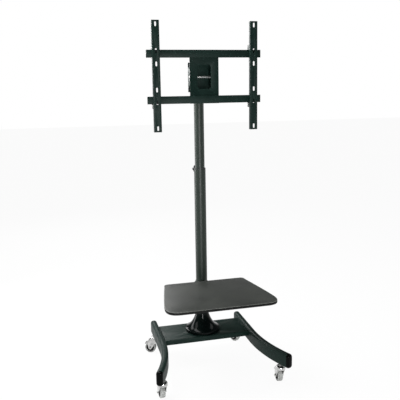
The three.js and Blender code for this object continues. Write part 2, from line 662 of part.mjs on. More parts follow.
// Tilt frame: a plate with two ears on the pivot, and two hollow rails across its front
function buildTiltFrame() {
  const ear = new THREE.Shape();
  const pinY = pivotY + tilt.pinReach;
  ear.moveTo(framePlateBack - gap, headZ - tilt.earHalfHeight);
  ear.lineTo(pivotY, headZ - tilt.earRadius);
  ear.absarc(pinY, headZ, tilt.pinRadius + tilt.earThickness, -Math.PI / 2, Math.PI / 2);
  ear.lineTo(pivotY, headZ + tilt.earRadius);
  ear.lineTo(framePlateBack - gap, headZ + tilt.earHalfHeight);
  ear.closePath();
  const sidesOfFrame = [-1, 1];
  const ears = sidesOfFrame.map((side) => sidePrism(
    ear, Math.min(side * earInner, side * earOuter), Math.max(side * earInner, side * earOuter)));
  const pins = sidesOfFrame.map((side) => rodX(
    tilt.pinRadius, Math.min(side * earInner, side * head.plateHalfWidth),
    Math.max(side * earInner, side * head.plateHalfWidth), pinY, headZ));
  const railTools = [];
  const rails = sidesOfFrame.map((side) => {
    const z = headZ + side * rail.spread / 2;
    const half = rail.height / 2;
    railTools.push(block(
      -rail.halfLength - overrun, rail.halfLength + overrun, railFront + rail.wall, railBack - rail.wall,
      z - half + rail.wall, z + half - rail.wall));
    return block(-rail.halfLength, rail.halfLength, railFront, railBack, z - half, z + half);
  });
  const window = roundedBox(tilt.windowHeight / 2, tilt.windowWidth / 2, tilt.windowCorner);
  const windowTool = prism(window, -overrun, tilt.plateThickness + overrun)
    .rotateY(Math.PI / 2).rotateZ(Math.PI / 2).translate(0, framePlateFront, headZ);
  const plate = block(
    -tilt.plateHalfWidth, tilt.plateHalfWidth, framePlateFront, framePlateBack,
    headZ - tilt.plateHalfHeight, headZ + tilt.plateHalfHeight);
  const boltHole = rodX(tilt.boltRadius + runningGap, -earOuter - overrun, earOuter + overrun, pivotY, headZ);
  addPiece(assembly, 'tilt_frame', cut(
    join(plate, ...ears, ...pins, ...rails), ...railTools, windowTool, boltHole), 'satinBlack');
}

// Arms: upright slotted channels that hook over the rails
function armSolid(x) {
  const spineBack = armFace + arm.spineDepth;
  const hookBack = railBack + gap + arm.hookReach;
  const left = x - arm.halfWidth;
  const right = x + arm.halfWidth;
  const railHalf = rail.height / 2 + gap;
  const railZ = rail.spread / 2;
  const hooks = [-1, 1].map((side) => block(
    left, right, armFace, hookBack,
    headZ + side * railZ - arm.hookHalfHeight, headZ + side * railZ + arm.hookHalfHeight));
  const body = join(
    block(left, right, armFace, spineBack, headZ - arm.halfHeight, headZ + arm.halfHeight), ...hooks);
  const top = headZ + railZ;
  const bottom = headZ - railZ;
  const tools = [
    block(left + arm.sheet, right - arm.sheet, armFace + arm.sheet, hookBack + overrun,
      headZ - arm.halfHeight - overrun, headZ + arm.halfHeight + overrun),
    block(left - overrun, right + overrun, railFront - gap, railBack + gap, top - railHalf, top + railHalf),
    block(left - overrun, right + overrun, railFront - gap, hookBack + overrun,
      top - arm.hookHalfHeight - overrun, top + railHalf - arm.lipHang),
    block(left - overrun, right + overrun, railFront - gap, hookBack + overrun,
      bottom - railHalf, bottom + arm.hookHalfHeight + overrun),
    rodX(arm.screwRadius + gap, left - overrun, right + overrun, armScrewY(), armScrewZ()),
  ];
  for (const spacing of Object.values(screenHoleSpacings)) {
    for (const side of [-1, 1]) {
      const slot = roundedBox(arm.slotWidth / 2, arm.slotHeight / 2, arm.slotWidth / 2 - gap);
      tools.push(prism(slot, -overrun, arm.sheet + overrun, arcSteps.hidden).rotateX(Math.PI / 2)
        .translate(x, armFace + arm.sheet, headZ + side * spacing / 2));
    }
  }
  return cut(body, ...tools);
}

function armScrewY() {
  return (railFront + railBack) / 2;
}

function armScrewZ() {
  return headZ - rail.spread / 2 - rail.height / 2 - arm.screwDrop;
}

function buildArms() {
  for (const [sideName, side] of [['left', -1], ['right', 1]]) {
    const x = side * arm.offset;
    addPiece(assembly, `screen_arm_${sideName}`, armSolid(x), 'satinBlack');
    const seat = arm.halfWidth + gap;
    const end = seat + arm.boltHeadHeight;
    const y = armScrewY();
    const z = armScrewZ();
    addPiece(assembly, `arm_screw_${sideName}`, join(
      rodX(arm.screwRadius, x - seat - gap, x + seat + gap, y, z),
      rodX(arm.boltHead, x - end, x - seat, y, z, sides.hex),
      rodX(arm.boltHead, x + seat, x + end, y, z, sides.hex),
    ), 'zinc');
  }
}

// Casters: a stem in the leg, a swivelling fork, an axle, a hub with its tyre, and a brake pedal
function cheekShape() {
  const shape = new THREE.Shape();
  const top = caster.crownTop - caster.crownPlate + gap;
  shape.moveTo(-caster.cheekHalfTop, top);
  shape.lineTo(-caster.cheekHalfTop, caster.crownBottom);
  shape.absarc(caster.trail, axleZ, caster.cheekFoot, Math.PI, 2 * Math.PI);
  shape.absarc(brakePivot.x, brakePivot.y, brake.earRadius, 0, Math.PI / 2);
  shape.lineTo(caster.cheekHalfTop, top);
  shape.closePath();
  return shape;
}

function crownShoulder() {
  const curve = new THREE.Path().absarc(
    caster.crownRadius - caster.crownShoulder, caster.crownTop - caster.crownShoulder,
    caster.crownShoulder, 0, Math.PI / 2);
  return curve.getPoints(arcSteps.hidden).map((point) => [point.x, point.y]);
}

function forkSolid() {
  const half = caster.cheekGap / 2;
  const outer = half + caster.cheek;
  const plateUnder = caster.crownTop - caster.crownPlate;
  const crown = revolve([
    [0, plateUnder], [caster.crownRadius - caster.crownSkirt, plateUnder],
    [caster.crownRadius - caster.crownSkirt, caster.crownBottom], [caster.crownRadius, caster.crownBottom],
    ...crownShoulder(), [0, caster.crownTop],
  ], sides.crown);
  const body = join(
    crown, sidePrism(cheekShape(), half, outer), sidePrism(cheekShape(), -outer, -half));
  return cut(
    body,
    rodZ((caster.stemRadius + gap) / smallFlatShare, plateUnder - overrun, caster.crownTop + overrun),
    rodX(caster.axleRadius + gap, -outer - overrun, outer + overrun, caster.trail, axleZ),
    rodX(brake.pinRadius + gap, -outer - overrun, outer + overrun, brakePivot.x, brakePivot.y),
  );
}

function stemSolid() {
  const seat = caster.crownTop + gap;
  const raceTop = seat + caster.raceHeight;
  const pastFlat = caster.innerNutRadius - (leg.width / 2 - leg.edgeRadius);
  const cornerRise = pastFlat * Math.tan(Math.PI / 8);
  const insideFloor = leg.underside + leg.wall + gap + cornerRise;
  const rivetTop = caster.crownTop - caster.crownPlate - gap;
  const under = leg.underside - gap;
  return join(
    rodZ(caster.stemRadius, rivetTop - caster.rivetHeight, insideFloor + caster.innerNut + footBolt.tail),
    rodZ(caster.rivetRadius, rivetTop - caster.rivetHeight, rivetTop),
    rodZ(caster.raceRadius, seat, raceTop),
    rodZ(caster.nutRadius, seat, under, sides.hex),
    rodZ(caster.innerNutRadius, insideFloor, insideFloor + caster.innerNut, sides.hex),
  );
}

function wheelPiece(profile, count) {
  return revolve(profile, count, Math.PI / count)
    .rotateY(Math.PI / 2).translate(0, caster.trail, axleZ);
}

function hubSolid() {
  const rimOuter = caster.wheelRadius - caster.tyreDepth - gap;
  const rimInner = rimOuter - caster.rimWall;
  const bore = caster.axleRadius + gap;
  const half = caster.hubWidth / 2;
  const rimHalf = caster.tyreWidth / 2;
  const webHalf = caster.webWidth / 2;
  return wheelPiece([
    [bore, -half], [caster.hubRadius, -half], [caster.hubRadius, -webHalf], [rimInner, -webHalf],
    [rimInner, -rimHalf], [rimOuter, -rimHalf], [rimOuter, rimHalf], [rimInner, rimHalf],
    [rimInner, webHalf], [caster.hubRadius, webHalf], [caster.hubRadius, half], [bore, half],
  ], sides.hub);
}

function tyreSolid() {
  const inner = caster.wheelRadius - caster.tyreDepth;
  const half = caster.tyreWidth / 2;
  const shoulder = half - caster.shoulder;
  const tread = caster.wheelRadius;
  return wheelPiece([
    [inner, -half], [tread - caster.shoulder, -half], [tread, -shoulder],
    [tread, shoulder], [tread - caster.shoulder, half], [inner, half],
  ], sides.wheel);
}

function axleSolid() {
  const seat = caster.cheekGap / 2 + caster.cheek + gap;
  const end = seat + caster.axleHead;
  return join(
    rodX(caster.axleRadius, -seat - caster.axleHead / 2, seat + caster.axleHead / 2, caster.trail, axleZ),
    rodX(caster.axleHeadRadius, -end, -seat, caster.trail, axleZ, sides.hex),
    rodX(caster.axleHeadRadius, seat, end, caster.trail, axleZ, sides.hex),
  );
}

// A strip of the brake shoe, which follows the tread from one angle to another
function shoeStrip(fromDegrees, toDegrees, thickness, halfWidth) {
  const inner = caster.wheelRadius + brake.shoeGap;
  const start = THREE.MathUtils.degToRad(toDegrees);
  const end = THREE.MathUtils.degToRad(fromDegrees);
  const shape = new THREE.Shape();
  shape.absarc(caster.trail, axleZ, inner + thickness, start, end);
  shape.absarc(caster.trail, axleZ, inner, end, start, true);
  return sidePrism(new THREE.Shape(shape.getPoints(arcSteps.shoe)), -halfWidth, halfWidth);
}

function brakeSolid() {
  const pinEnd = caster.cheekGap / 2 + caster.cheek - gap;
  const toeStart = brake.endDegrees + THREE.MathUtils.radToDeg(brake.shoe / caster.wheelRadius);
  return join(
    rodX(brake.bossRadius, -brake.halfWidth, brake.halfWidth, brakePivot.x, brakePivot.y),
    rodX(brake.pinRadius, -pinEnd, pinEnd, brakePivot.x, brakePivot.y),
    shoeStrip(brake.pivotDegrees, brake.wideDegrees, brake.shoe, brake.halfWidth),
    shoeStrip(brake.wideDegrees, brake.endDegrees, brake.shoe, brake.pedalHalfWidth),
    shoeStrip(toeStart, brake.endDegrees, brake.shoe + brake.toe, brake.pedalHalfWidth),
  );
}

function buildCaster(name, side, isFront, turnDegrees) {
  const place = legStem(side, isFront);
  const unit = new THREE.Group();
  unit.position.set(place.x, place.y, 0);
  assembly.add(unit);
  addPiece(unit, `caster_stem_${name}`, stemSolid(), 'zinc');
  const turning = new THREE.Group();
  turning.rotation.z = THREE.MathUtils.degToRad(turnDegrees);
  unit.add(turning);
  addPiece(turning, `caster_fork_${name}`, forkSolid(), 'chrome');
  addPiece(turning, `caster_axle_${name}`, axleSolid(), 'zinc');
  addPiece(turning, `caster_hub_${name}`, hubSolid(), 'blackPlastic');
  addPiece(turning, `caster_tyre_${name}`, tyreSolid(), 'greyRubber');
  addPiece(turning, `caster_brake_${name}`, brakeSolid(), 'chrome');
}

buildTray();
buildLeg(-1, 'left');
buildLeg(1, 'right');
buildFoot();
buildCover();
buildMast();
buildShelf();
buildYoke();
buildTiltFrame();
buildArms();
buildCaster('front_left', -1, true, casterTurns.frontLeft);
buildCaster('front_right', 1, true, casterTurns.frontRight);
buildCaster('rear_left', -1, false, casterTurns.rearLeft);
buildCaster('rear_right', 1, false, casterTurns.rearRight);

// The origin is on the floor, at the middle of the stand's footprint
assembly.updateMatrixWorld(true);
const footprint = new THREE.Box3().setFromObject(assembly, true);
const middle = footprint.getCenter(new THREE.Vector3());
assembly.position.set(-middle.x, -middle.y, -footprint.min.z);

export default stand;
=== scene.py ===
import json
import math

import bpy
from mathutils import Matrix, Vector


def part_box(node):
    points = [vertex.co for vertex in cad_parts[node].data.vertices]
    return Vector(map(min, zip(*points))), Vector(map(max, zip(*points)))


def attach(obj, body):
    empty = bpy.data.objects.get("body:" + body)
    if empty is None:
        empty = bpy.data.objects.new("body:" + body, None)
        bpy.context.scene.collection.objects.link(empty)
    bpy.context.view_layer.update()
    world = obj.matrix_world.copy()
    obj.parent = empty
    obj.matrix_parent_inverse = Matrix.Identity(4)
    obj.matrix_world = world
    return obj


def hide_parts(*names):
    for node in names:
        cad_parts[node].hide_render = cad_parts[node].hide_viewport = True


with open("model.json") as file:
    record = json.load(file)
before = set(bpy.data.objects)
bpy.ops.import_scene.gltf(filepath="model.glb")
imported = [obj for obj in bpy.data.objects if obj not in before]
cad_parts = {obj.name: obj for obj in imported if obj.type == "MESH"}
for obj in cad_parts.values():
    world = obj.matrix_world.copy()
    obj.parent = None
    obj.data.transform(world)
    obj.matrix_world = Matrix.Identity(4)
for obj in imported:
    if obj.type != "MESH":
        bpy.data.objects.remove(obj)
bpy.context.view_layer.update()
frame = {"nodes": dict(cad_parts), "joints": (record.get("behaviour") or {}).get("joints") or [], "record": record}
print("frame loaded,", len(frame["nodes"]), "nodes")

# Places are in metres, in the frame's own axes: X to the right, -Y to the front, Z up
lowerLow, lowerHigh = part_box("mast_lower")
upperLow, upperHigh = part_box("mast_upper")
column = Vector(((lowerLow.x + lowerHigh.x) / 2, (lowerLow.y + lowerHigh.y) / 2, 0))
jointByName = {joint["name"]: joint for joint in frame["joints"]}
air = 0.0003  # clearance between neighbouring pieces
cornerNames = ("front_left", "front_right", "rear_left", "rear_right")


# Camera
shot = {
    "azimuth": 14.0, "pitch": 10.6, "roll": -0.967, "distance": 2.5,
    "aimAcross": -0.0013, "aimHeight": 0.7288, "lens": 51.46, "sensor": 36.0,
}


def placeCamera():
    turn = math.radians(shot["azimuth"])
    tilt = math.radians(shot["pitch"])
    roll = math.radians(shot["roll"])
    back = Vector((-math.sin(turn) * math.cos(tilt), -math.cos(turn) * math.cos(tilt), math.sin(tilt)))
    level = Vector((0, 0, 1)).cross(back).normalized()
    upright = back.cross(level)
    right = level * math.cos(roll) + upright * math.sin(roll)
    top = upright * math.cos(roll) - level * math.sin(roll)
    place = column + level * shot["aimAcross"] + Vector((0, 0, shot["aimHeight"])) + back * shot["distance"]
    bpy.ops.object.camera_add()
    camera = bpy.context.object
    camera.data.lens = shot["lens"]
    camera.data.sensor_width = shot["sensor"]
    camera.matrix_world = Matrix((
        (right.x, top.x, back.x, place.x),
        (right.y, top.y, back.y, place.y),
        (right.z, top.z, back.z, place.z),
        (0, 0, 0, 1)))
    bpy.context.scene.camera = camera


# Studio: a white floor and sky, and soft lights
studio = {
    "floorSize": 40.0, "floorEmission": 0.94, "floorColour": 0.80, "skyLight": 0.42, "skyWhite": 1.0,
    "mirrorLow": 0.02, "mirrorHigh": 0.22, "mirrorTop": 0.12, "aim": (0, 0, 0.6),
}
softLights = {  # power, place, width and height
    "leftLight": (7.0, (-1.1, 0.0, 1.35), (0.5, 1.2)),
    "rimLight": (17.0, (-1.2, 1.0, 0.9), (0.4, 1.6)),
    "frontLight": (46.0, (-0.33, -2.7, 0.6), (0.3, 1.2)),
    "topLight": (26.0, (-0.7, 0.1, 2.0), (1.0, 1.0)),
    "backLight": (32.0, (-0.5, 2.9, 1.85), (1.1, 1.0)),
    "rightLight": (4.0, (1.6, 0.1, 1.45), (0.6, 1.0)),
}


def addSoftLight(name, power, place, size):
    bpy.ops.object.light_add(type="AREA", location=place)
    lamp = bpy.context.object
    lamp.name = name
    lamp.data.energy = power
    lamp.data.shape = "RECTANGLE"
    lamp.data.size, lamp.data.size_y = size
    toward = Vector(studio["aim"]) - Vector(place)
    lamp.rotation_euler = toward.to_track_quat("-Z", "Y").to_euler()
    lamp.visible_camera = False


# A value of 1 on rays from the camera, and on the given further kinds of ray
def rayKinds(tree, *kinds):
    path = tree.nodes.new("ShaderNodeLightPath")
    reached = path.outputs["Is Camera Ray"]
    for kind in kinds:
        either = tree.nodes.new("ShaderNodeMath")
        either.operation = "MAXIMUM"
        tree.links.new(reached, either.inputs[0])
        tree.links.new(path.outputs[kind], either.inputs[1])
        reached = either.outputs[0]
    return reached


# Seen in metal, the sky is white at the horizon and darker overhead
def mirrorSky(tree):
    sky = tree.nodes.new("ShaderNodeBackground")
    sky.inputs["Color"].default_value = (1, 1, 1, 1)
    direction = tree.nodes.new("ShaderNodeTexCoord")
    parts = tree.nodes.new("ShaderNodeSeparateXYZ")
    fade = tree.nodes.new("ShaderNodeMapRange")
    fade.inputs["From Min"].default_value = studio["mirrorLow"]
    fade.inputs["From Max"].default_value = studio["mirrorHigh"]
    fade.inputs["To Min"].default_value = studio["skyWhite"]
    fade.inputs["To Max"].default_value = studio["mirrorTop"]
    tree.links.new(direction.outputs["Generated"], parts.inputs["Vector"])
    tree.links.new(parts.outputs["Z"], fade.inputs["Value"])
    tree.links.new(fade.outputs["Result"], sky.inputs["Strength"])
    return sky


def buildStudio():
    bpy.ops.mesh.primitive_plane_add(size=studio["floorSize"])
    floor = bpy.context.object
    floor.name = "studioFloor"
    material = bpy.data.materials.new("paleFloor")
    material.use_nodes = True
    tree = material.node_tree
    surface = tree.nodes["Principled BSDF"]
    shade = studio["floorColour"]
    surface.inputs["Base Color"].default_value = (shade, shade, shade, 1)
    surface.inputs["Roughness"].default_value = 0.9
    glow = tree.nodes.new("ShaderNodeEmission")
    glow.inputs["Strength"].default_value = 1.0
    share = tree.nodes.new("ShaderNodeMath")
    share.operation = "MULTIPLY"
    share.inputs[1].default_value = studio["floorEmission"]
    tree.links.new(rayKinds(tree, "Is Glossy Ray", "Is Transmission Ray"), share.inputs[0])
    blend = tree.nodes.new("ShaderNodeMixShader")
    tree.links.new(share.outputs[0], blend.inputs[0])
    tree.links.new(surface.outputs[0], blend.inputs[1])
    tree.links.new(glow.outputs[0], blend.inputs[2])
    tree.links.new(blend.outputs[0], tree.nodes["Material Output"].inputs["Surface"])
    floor.data.materials.append(material)

    world = bpy.data.worlds.new("studioWorld")
    bpy.context.scene.world = world
    world.use_nodes = True
    tree = world.node_tree
    soft = tree.nodes["Background"]
    soft.inputs["Strength"].default_value = studio["skyLight"]
    white = tree.nodes.new("ShaderNodeBackground")
    white.inputs["Strength"].default_value = studio["skyWhite"]
    for background in (soft, white):
        background.inputs["Color"].default_value = (1, 1, 1, 1)
    path = tree.nodes.new("ShaderNodeLightPath")
    inMetal = tree.nodes.new("ShaderNodeMixShader")
    tree.links.new(path.outputs["Is Glossy Ray"], inMetal.inputs[0])
    tree.links.new(soft.outputs[0], inMetal.inputs[1])
    tree.links.new(mirrorSky(tree).outputs[0], inMetal.inputs[2])
    blend = tree.nodes.new("ShaderNodeMixShader")
    tree.links.new(rayKinds(tree, "Is Transmission Ray"), blend.inputs[0])
    tree.links.new(inMetal.outputs[0], blend.inputs[1])
    tree.links.new(white.outputs[0], blend.inputs[2])
    tree.links.new(blend.outputs[0], tree.nodes["World Output"].inputs["Surface"])

    for name, (power, place, size) in softLights.items():
        addSoftLight(name, power, place, size)
    bpy.context.scene.view_settings.view_transform = "Standard"


placeCamera()
buildStudio()
print("camera and studio ready")


# Finishes
def startMaterial(name, colour, roughness, specular, metallic=0.0):
    material = bpy.data.materials.new(name)
    material.use_nodes = True
    shader = material.node_tree.nodes["Principled BSDF"]
    shader.inputs["Base Color"].default_value = (*colour, 1)
    shader.inputs["Roughness"].default_value = roughness
    shader.inputs["Specular IOR Level"].default_value = specular
    shader.inputs["Metallic"].default_value = metallic
    return material, material.node_tree, shader


def noiseField(tree, scale, detail=3.0, stretch=(1, 1, 1)):
    place = tree.nodes.new("ShaderNodeTexCoord")
    mapping = tree.nodes.new("ShaderNodeMapping")
    mapping.inputs["Scale"].default_value = stretch
    noise = tree.nodes.new("ShaderNodeTexNoise")
    noise.inputs["Scale"].default_value = scale
    noise.inputs["Detail"].default_value = detail
    tree.links.new(place.outputs["Object"], mapping.inputs["Vector"])
    tree.links.new(mapping.outputs["Vector"], noise.inputs["Vector"])
    return noise.outputs["Fac"]


def ramp(tree, source, stops):
    node = tree.nodes.new("ShaderNodeValToRGB")
    node.color_ramp.elements[0].position = stops[0][0]
    node.color_ramp.elements[0].color = (*stops[0][1], 1)
    node.color_ramp.elements[1].position = stops[1][0]
    node.color_ramp.elements[1].color = (*stops[1][1], 1)
    for position, colour in stops[2:]:
        node.color_ramp.elements.new(position).color = (*colour, 1)
    tree.links.new(source, node.inputs["Fac"])
    return node.outputs["Color"]


def spread(tree, source, low, high):
    node = tree.nodes.new("ShaderNodeMapRange")
    node.inputs["From Min"].default_value = 0.3
    node.inputs["From Max"].default_value = 0.7
    node.inputs["To Min"].default_value = low
    node.inputs["To Max"].default_value = high
    tree.links.new(source, node.inputs["Value"])
    return node.outputs["Result"]


def addBumps(tree, shader, layers):
    last = None
    for source, strength, depth in layers:
        bump = tree.nodes.new("ShaderNodeBump")
        bump.inputs["Strength"].default_value = strength
        bump.inputs["Distance"].default_value = depth
        tree.links.new(source, bump.inputs["Height"])
        if last:
            tree.links.new(last, bump.inputs["Normal"])
        last = bump.outputs["Normal"]
    tree.links.new(last, shader.inputs["Normal"])


powderCoat = {
    "dark": (0.0040, 0.0126, 0.0100), "light": (0.0072, 0.0178, 0.0145), "cloudScale": 22, "peelScale": 620,
    "grainScale": 2600, "roughness": (0.38, 0.50), "specular": 0.09, "peelStrength": 0.16,
    "peelDepth": 0.0003, "grainStrength": 0.10, "grainDepth": 0.0001,
}
litTubeCoat = {  # the mast tubes are glossier than the base, and painted a little lighter for the brighter light they catch
    **powderCoat, "dark": (0.0092, 0.0160, 0.0118), "light": (0.0140, 0.0216, 0.0168), "specular": 0.28,
    "roughness": (0.36, 0.46),
}


def makePowderCoat(name, cfg):
    material, tree, shader = startMaterial(name, cfg["dark"], cfg["roughness"][0], cfg["specular"])
    cloud = noiseField(tree, cfg["cloudScale"])
    tree.links.new(ramp(tree, cloud, [(0.3, cfg["dark"]), (0.72, cfg["light"])]), shader.inputs["Base Color"])
    tree.links.new(spread(tree, cloud, *cfg["roughness"]), shader.inputs["Roughness"])
    addBumps(tree, shader, [
        (noiseField(tree, cfg["peelScale"], 1.0), cfg["peelStrength"], cfg["peelDepth"]),
        (noiseField(tree, cfg["grainScale"], 2.0), cfg["grainStrength"], cfg["grainDepth"])])
    return material


glossMoulding = {
    "colour": (0.0008, 0.0020, 0.0019), "haze": (0.0024, 0.0042, 0.0039), "hazeScale": 14, "waveScale": 26,
    "roughness": (0.09, 0.16), "specular": 0.09, "waveStrength": 0.05, "waveDepth": 0.0006,
}
shadedCapMoulding = {  # the leg caps are softer than the bell and painted blacker, painted shade for the dark surroundings they mirror
    **glossMoulding, "colour": (0.0008, 0.0011, 0.0010), "haze": (0.0016, 0.0020, 0.0018), "specular": 0.06,
    "roughness": (0.10, 0.16),
}


def makeGlossMoulding(name, cfg):
    material, tree, shader = startMaterial(name, cfg["colour"], cfg["roughness"][0], cfg["specular"])
    haze = noiseField(tree, cfg["hazeScale"], 4.0)
    base = ramp(tree, haze, [(0.35, cfg["colour"]), (0.75, cfg["haze"])])
    tree.links.new(base, shader.inputs["Base Color"])
    tree.links.new(spread(tree, haze, *cfg["roughness"]), shader.inputs["Roughness"])
    addBumps(tree, shader, [(noiseField(tree, cfg["waveScale"], 1.0), cfg["waveStrength"], cfg["waveDepth"])])
    return material


grainedPlastic = {
    "cloudScale": 60, "grainScale": 1500,
    "roughness": (0.42, 0.56), "grainStrength": 0.22, "grainDepth": 0.0002,
}


def makeGrainedPlastic(name, dark, light, specular):
    cfg = grainedPlastic
    material, tree, shader = startMaterial(name, dark, cfg["roughness"][0], specular)
    cloud = noiseField(tree, cfg["cloudScale"])
    tree.links.new(ramp(tree, cloud, [(0.3, dark), (0.75, light)]), shader.inputs["Base Color"])
    tree.links.new(spread(tree, cloud, *cfg["roughness"]), shader.inputs["Roughness"])
    addBumps(tree, shader, [
        (noiseField(tree, cfg["grainScale"], 2.0), cfg["grainStrength"], cfg["grainDepth"])])
    return material


laminate = {
    "dark": (0.026, 0.0285, 0.026), "light": (0.038, 0.041, 0.037), "fleck": (0.058, 0.060, 0.056),
    "fleckScale": 900, "cloudScale": 12, "pebbleScale": 780, "roughness": (0.36, 0.45), "specular": 0.16,
    "pebbleStrength": 0.12, "pebbleDepth": 0.0002,
}
highlightLaminate = {  # the rounded upper edge is painted lighter, a painted highlight line
    **laminate, "dark": (0.080, 0.084, 0.078), "light": (0.115, 0.120, 0.112), "fleck": (0.150, 0.152, 0.146),
}


def makeLaminate(name, cfg):
    material, tree, shader = startMaterial(name, cfg["dark"], cfg["roughness"][0], cfg["specular"])
    cloud = noiseField(tree, cfg["cloudScale"])
    base = ramp(tree, cloud, [(0.3, cfg["dark"]), (0.7, cfg["light"])])
    flecks = ramp(tree, noiseField(tree, cfg["fleckScale"], 2.0), [(0.62, (0, 0, 0)), (0.74, (1, 1, 1))])
    mix = tree.nodes.new("ShaderNodeMix")
    mix.data_type = "RGBA"
    tree.links.new(flecks, mix.inputs["Factor"])
    tree.links.new(base, mix.inputs["A"])
    mix.inputs["B"].default_value = (*cfg["fleck"], 1)
    tree.links.new(mix.outputs["Result"], shader.inputs["Base Color"])
    tree.links.new(spread(tree, cloud, *cfg["roughness"]), shader.inputs["Roughness"])
    addBumps(tree, shader, [
        (noiseField(tree, cfg["pebbleScale"], 1.0), cfg["pebbleStrength"], cfg["pebbleDepth"])])
    return material


# The chrome's darker patches are painted reflection, standing in for dark surroundings mirrored in it; the zinc's
# are tone that differs at random
plating = {
    "chrome": {"dark": (0.34, 0.34, 0.34), "light": (0.60, 0.60, 0.59), "roughness": (0.05, 0.12)},
    "zinc": {"dark": (0.30, 0.31, 0.31), "light": (0.48, 0.48, 0.46), "roughness": (0.24, 0.40)},
    "cloudScale": 70, "polishScale": 340, "polishStrength": 0.04, "polishDepth": 0.0002, "specular": 0.5,
}


def makePlating(name, kind):
    cfg = plating[kind]
    material, tree, shader = startMaterial(name, cfg["light"], cfg["roughness"][0], plating["specular"], 1.0)
    cloud = noiseField(tree, plating["cloudScale"], 4.0)
    # Darker patches over a noise field: painted reflection on chrome, random tone on zinc
    base = ramp(tree, cloud, [(0.3, cfg["dark"]), (0.62, cfg["light"])])
    tree.links.new(base, shader.inputs["Base Color"])
    tree.links.new(spread(tree, cloud, *cfg["roughness"]), shader.inputs["Roughness"])
    addBumps(tree, shader, [
        (noiseField(tree, plating["polishScale"], 2.0), plating["polishStrength"], plating["polishDepth"])])
    return material


treadRubber = {
    "clean": (0.36, 0.37, 0.36), "worn": (0.24, 0.24, 0.23), "cloudScale": 130, "grainScale": 1900,
    "roughness": (0.58, 0.78), "specular": 0.3, "grainStrength": 0.3, "grainDepth": 0.0002,
}


def makeTreadRubber():
    cfg = treadRubber
    material, tree, shader = startMaterial("treadRubber", cfg["clean"], cfg["roughness"][0], cfg["specular"])
    cloud = noiseField(tree, cfg["cloudScale"], 5.0)
    tree.links.new(ramp(tree, cloud, [(0.36, cfg["worn"]), (0.55, cfg["clean"])]), shader.inputs["Base Color"])
    tree.links.new(spread(tree, cloud, *cfg["roughness"]), shader.inputs["Roughness"])
    addBumps(tree, shader, [
        (noiseField(tree, cfg["grainScale"], 2.0), cfg["grainStrength"], cfg["grainDepth"])])
    return material


finish = {
    "frame_paint": makePowderCoat("satinPowderCoat", powderCoat),
    "gloss_black": makeGlossMoulding("glossMoulding", glossMoulding),
    "black_plastic": makeGrainedPlastic("grainedPlastic", (0.008, 0.009, 0.009), (0.016, 0.017, 0.017), 0.3),
    "shelf_black": makeLaminate("blackLaminate", laminate),
    "nylon": makeGrainedPlastic("nylon", (0.016, 0.016, 0.017), (0.028, 0.028, 0.029), 0.4),
    "chrome": makePlating("chromePlate", "chrome"),
    "zinc": makePlating("zincPlate", "zinc"),
    "grey_rubber": makeTreadRubber(),
}
for entry in frame["record"]["subparts"]:
    node = frame["nodes"][entry["node"]]
    node.data.materials.clear()
    node.data.materials.append(finish[entry["material_slot"]])
litTubePaint = makePowderCoat("litTubePowderCoat", litTubeCoat)
shadedCapPlastic = makeGlossMoulding("shadedCapMoulding", shadedCapMoulding)
# A lighter copy of the laminate: a painted highlight along the shelf's upper edge
edgeHighlight = makeLaminate("highlightLaminate", highlightLaminate)
edgeBand = makeGrainedPlastic("edgeBand", (0.0030, 0.0034, 0.0032), (0.0060, 0.0064, 0.0060), 0.1)
print("finishes ready")


# Modelling helpers
def allOff():
    if bpy.context.mode != "OBJECT":
        bpy.ops.object.mode_set(mode="OBJECT")
    bpy.ops.object.select_all(action="DESELECT")


def onlyThis(piece):
    allOff()
    piece.select_set(True)
    bpy.context.view_layer.objects.active = piece


def startEdit(piece):
    onlyThis(piece)
    bpy.ops.object.mode_set(mode="EDIT")
    bpy.ops.mesh.select_all(action="SELECT")


def endEdit():
    bpy.ops.object.mode_set(mode="OBJECT")


def settle(piece, place=(0, 0, 0), turn=(0, 0, 0)):
    piece.rotation_euler = turn
    piece.location = place
    onlyThis(piece)
    bpy.ops.object.transform_apply(location=True, rotation=True, scale=True)
    return piece


def applyModifier(piece, kind, **settings):
    onlyThis(piece)
    modifier = piece.modifiers.new(kind.lower(), kind)
    for key, value in settings.items():
        setattr(modifier, key, value)
    bpy.ops.object.modifier_apply(modifier=modifier.name)
    return piece


def roundEdges(piece, width, segments=2, degrees=40):
    return applyModifier(
        piece, "BEVEL", width=width, segments=segments, limit_method="ANGLE", angle_limit=math.radians(degrees),
        use_clamp_overlap=True)


def tidyMesh(piece):
    startEdit(piece)
    bpy.ops.mesh.remove_doubles(threshold=0.000002)
    bpy.ops.mesh.delete_loose()
    bpy.ops.mesh.select_all(action="SELECT")
    bpy.ops.mesh.normals_make_consistent(inside=False)
    endEdit()
    return piece


# A closed ring of points, shaped from a circle
def ringOf(name, points):
    allOff()
    bpy.ops.mesh.primitive_circle_add(vertices=len(points), fill_type="NOTHING")
    ring = bpy.context.object
    ring.name = name
    for corner, point in zip(ring.data.vertices, points):
        corner.co = point
    return ring


# A profile of (radius, height) pairs spun round the upright axis
def spun(name, profile, steps=64):
    piece = ringOf(name, [(radius, 0, height) for radius, height in profile])
    startEdit(piece)
    bpy.ops.mesh.spin(steps=steps, angle=2 * math.pi, center=(0, 0, 0), axis=(0, 0, 1))
    endEdit()
    return tidyMesh(piece)


# A ring filled and drawn out by one straight move
def drawnOut(name, points, move):
    piece = ringOf(name, points)
    startEdit(piece)
    bpy.ops.mesh.edge_face_add()
    bpy.ops.mesh.extrude_region_move(TRANSFORM_OT_translate={"value": move})
    endEdit()
    return tidyMesh(piece)


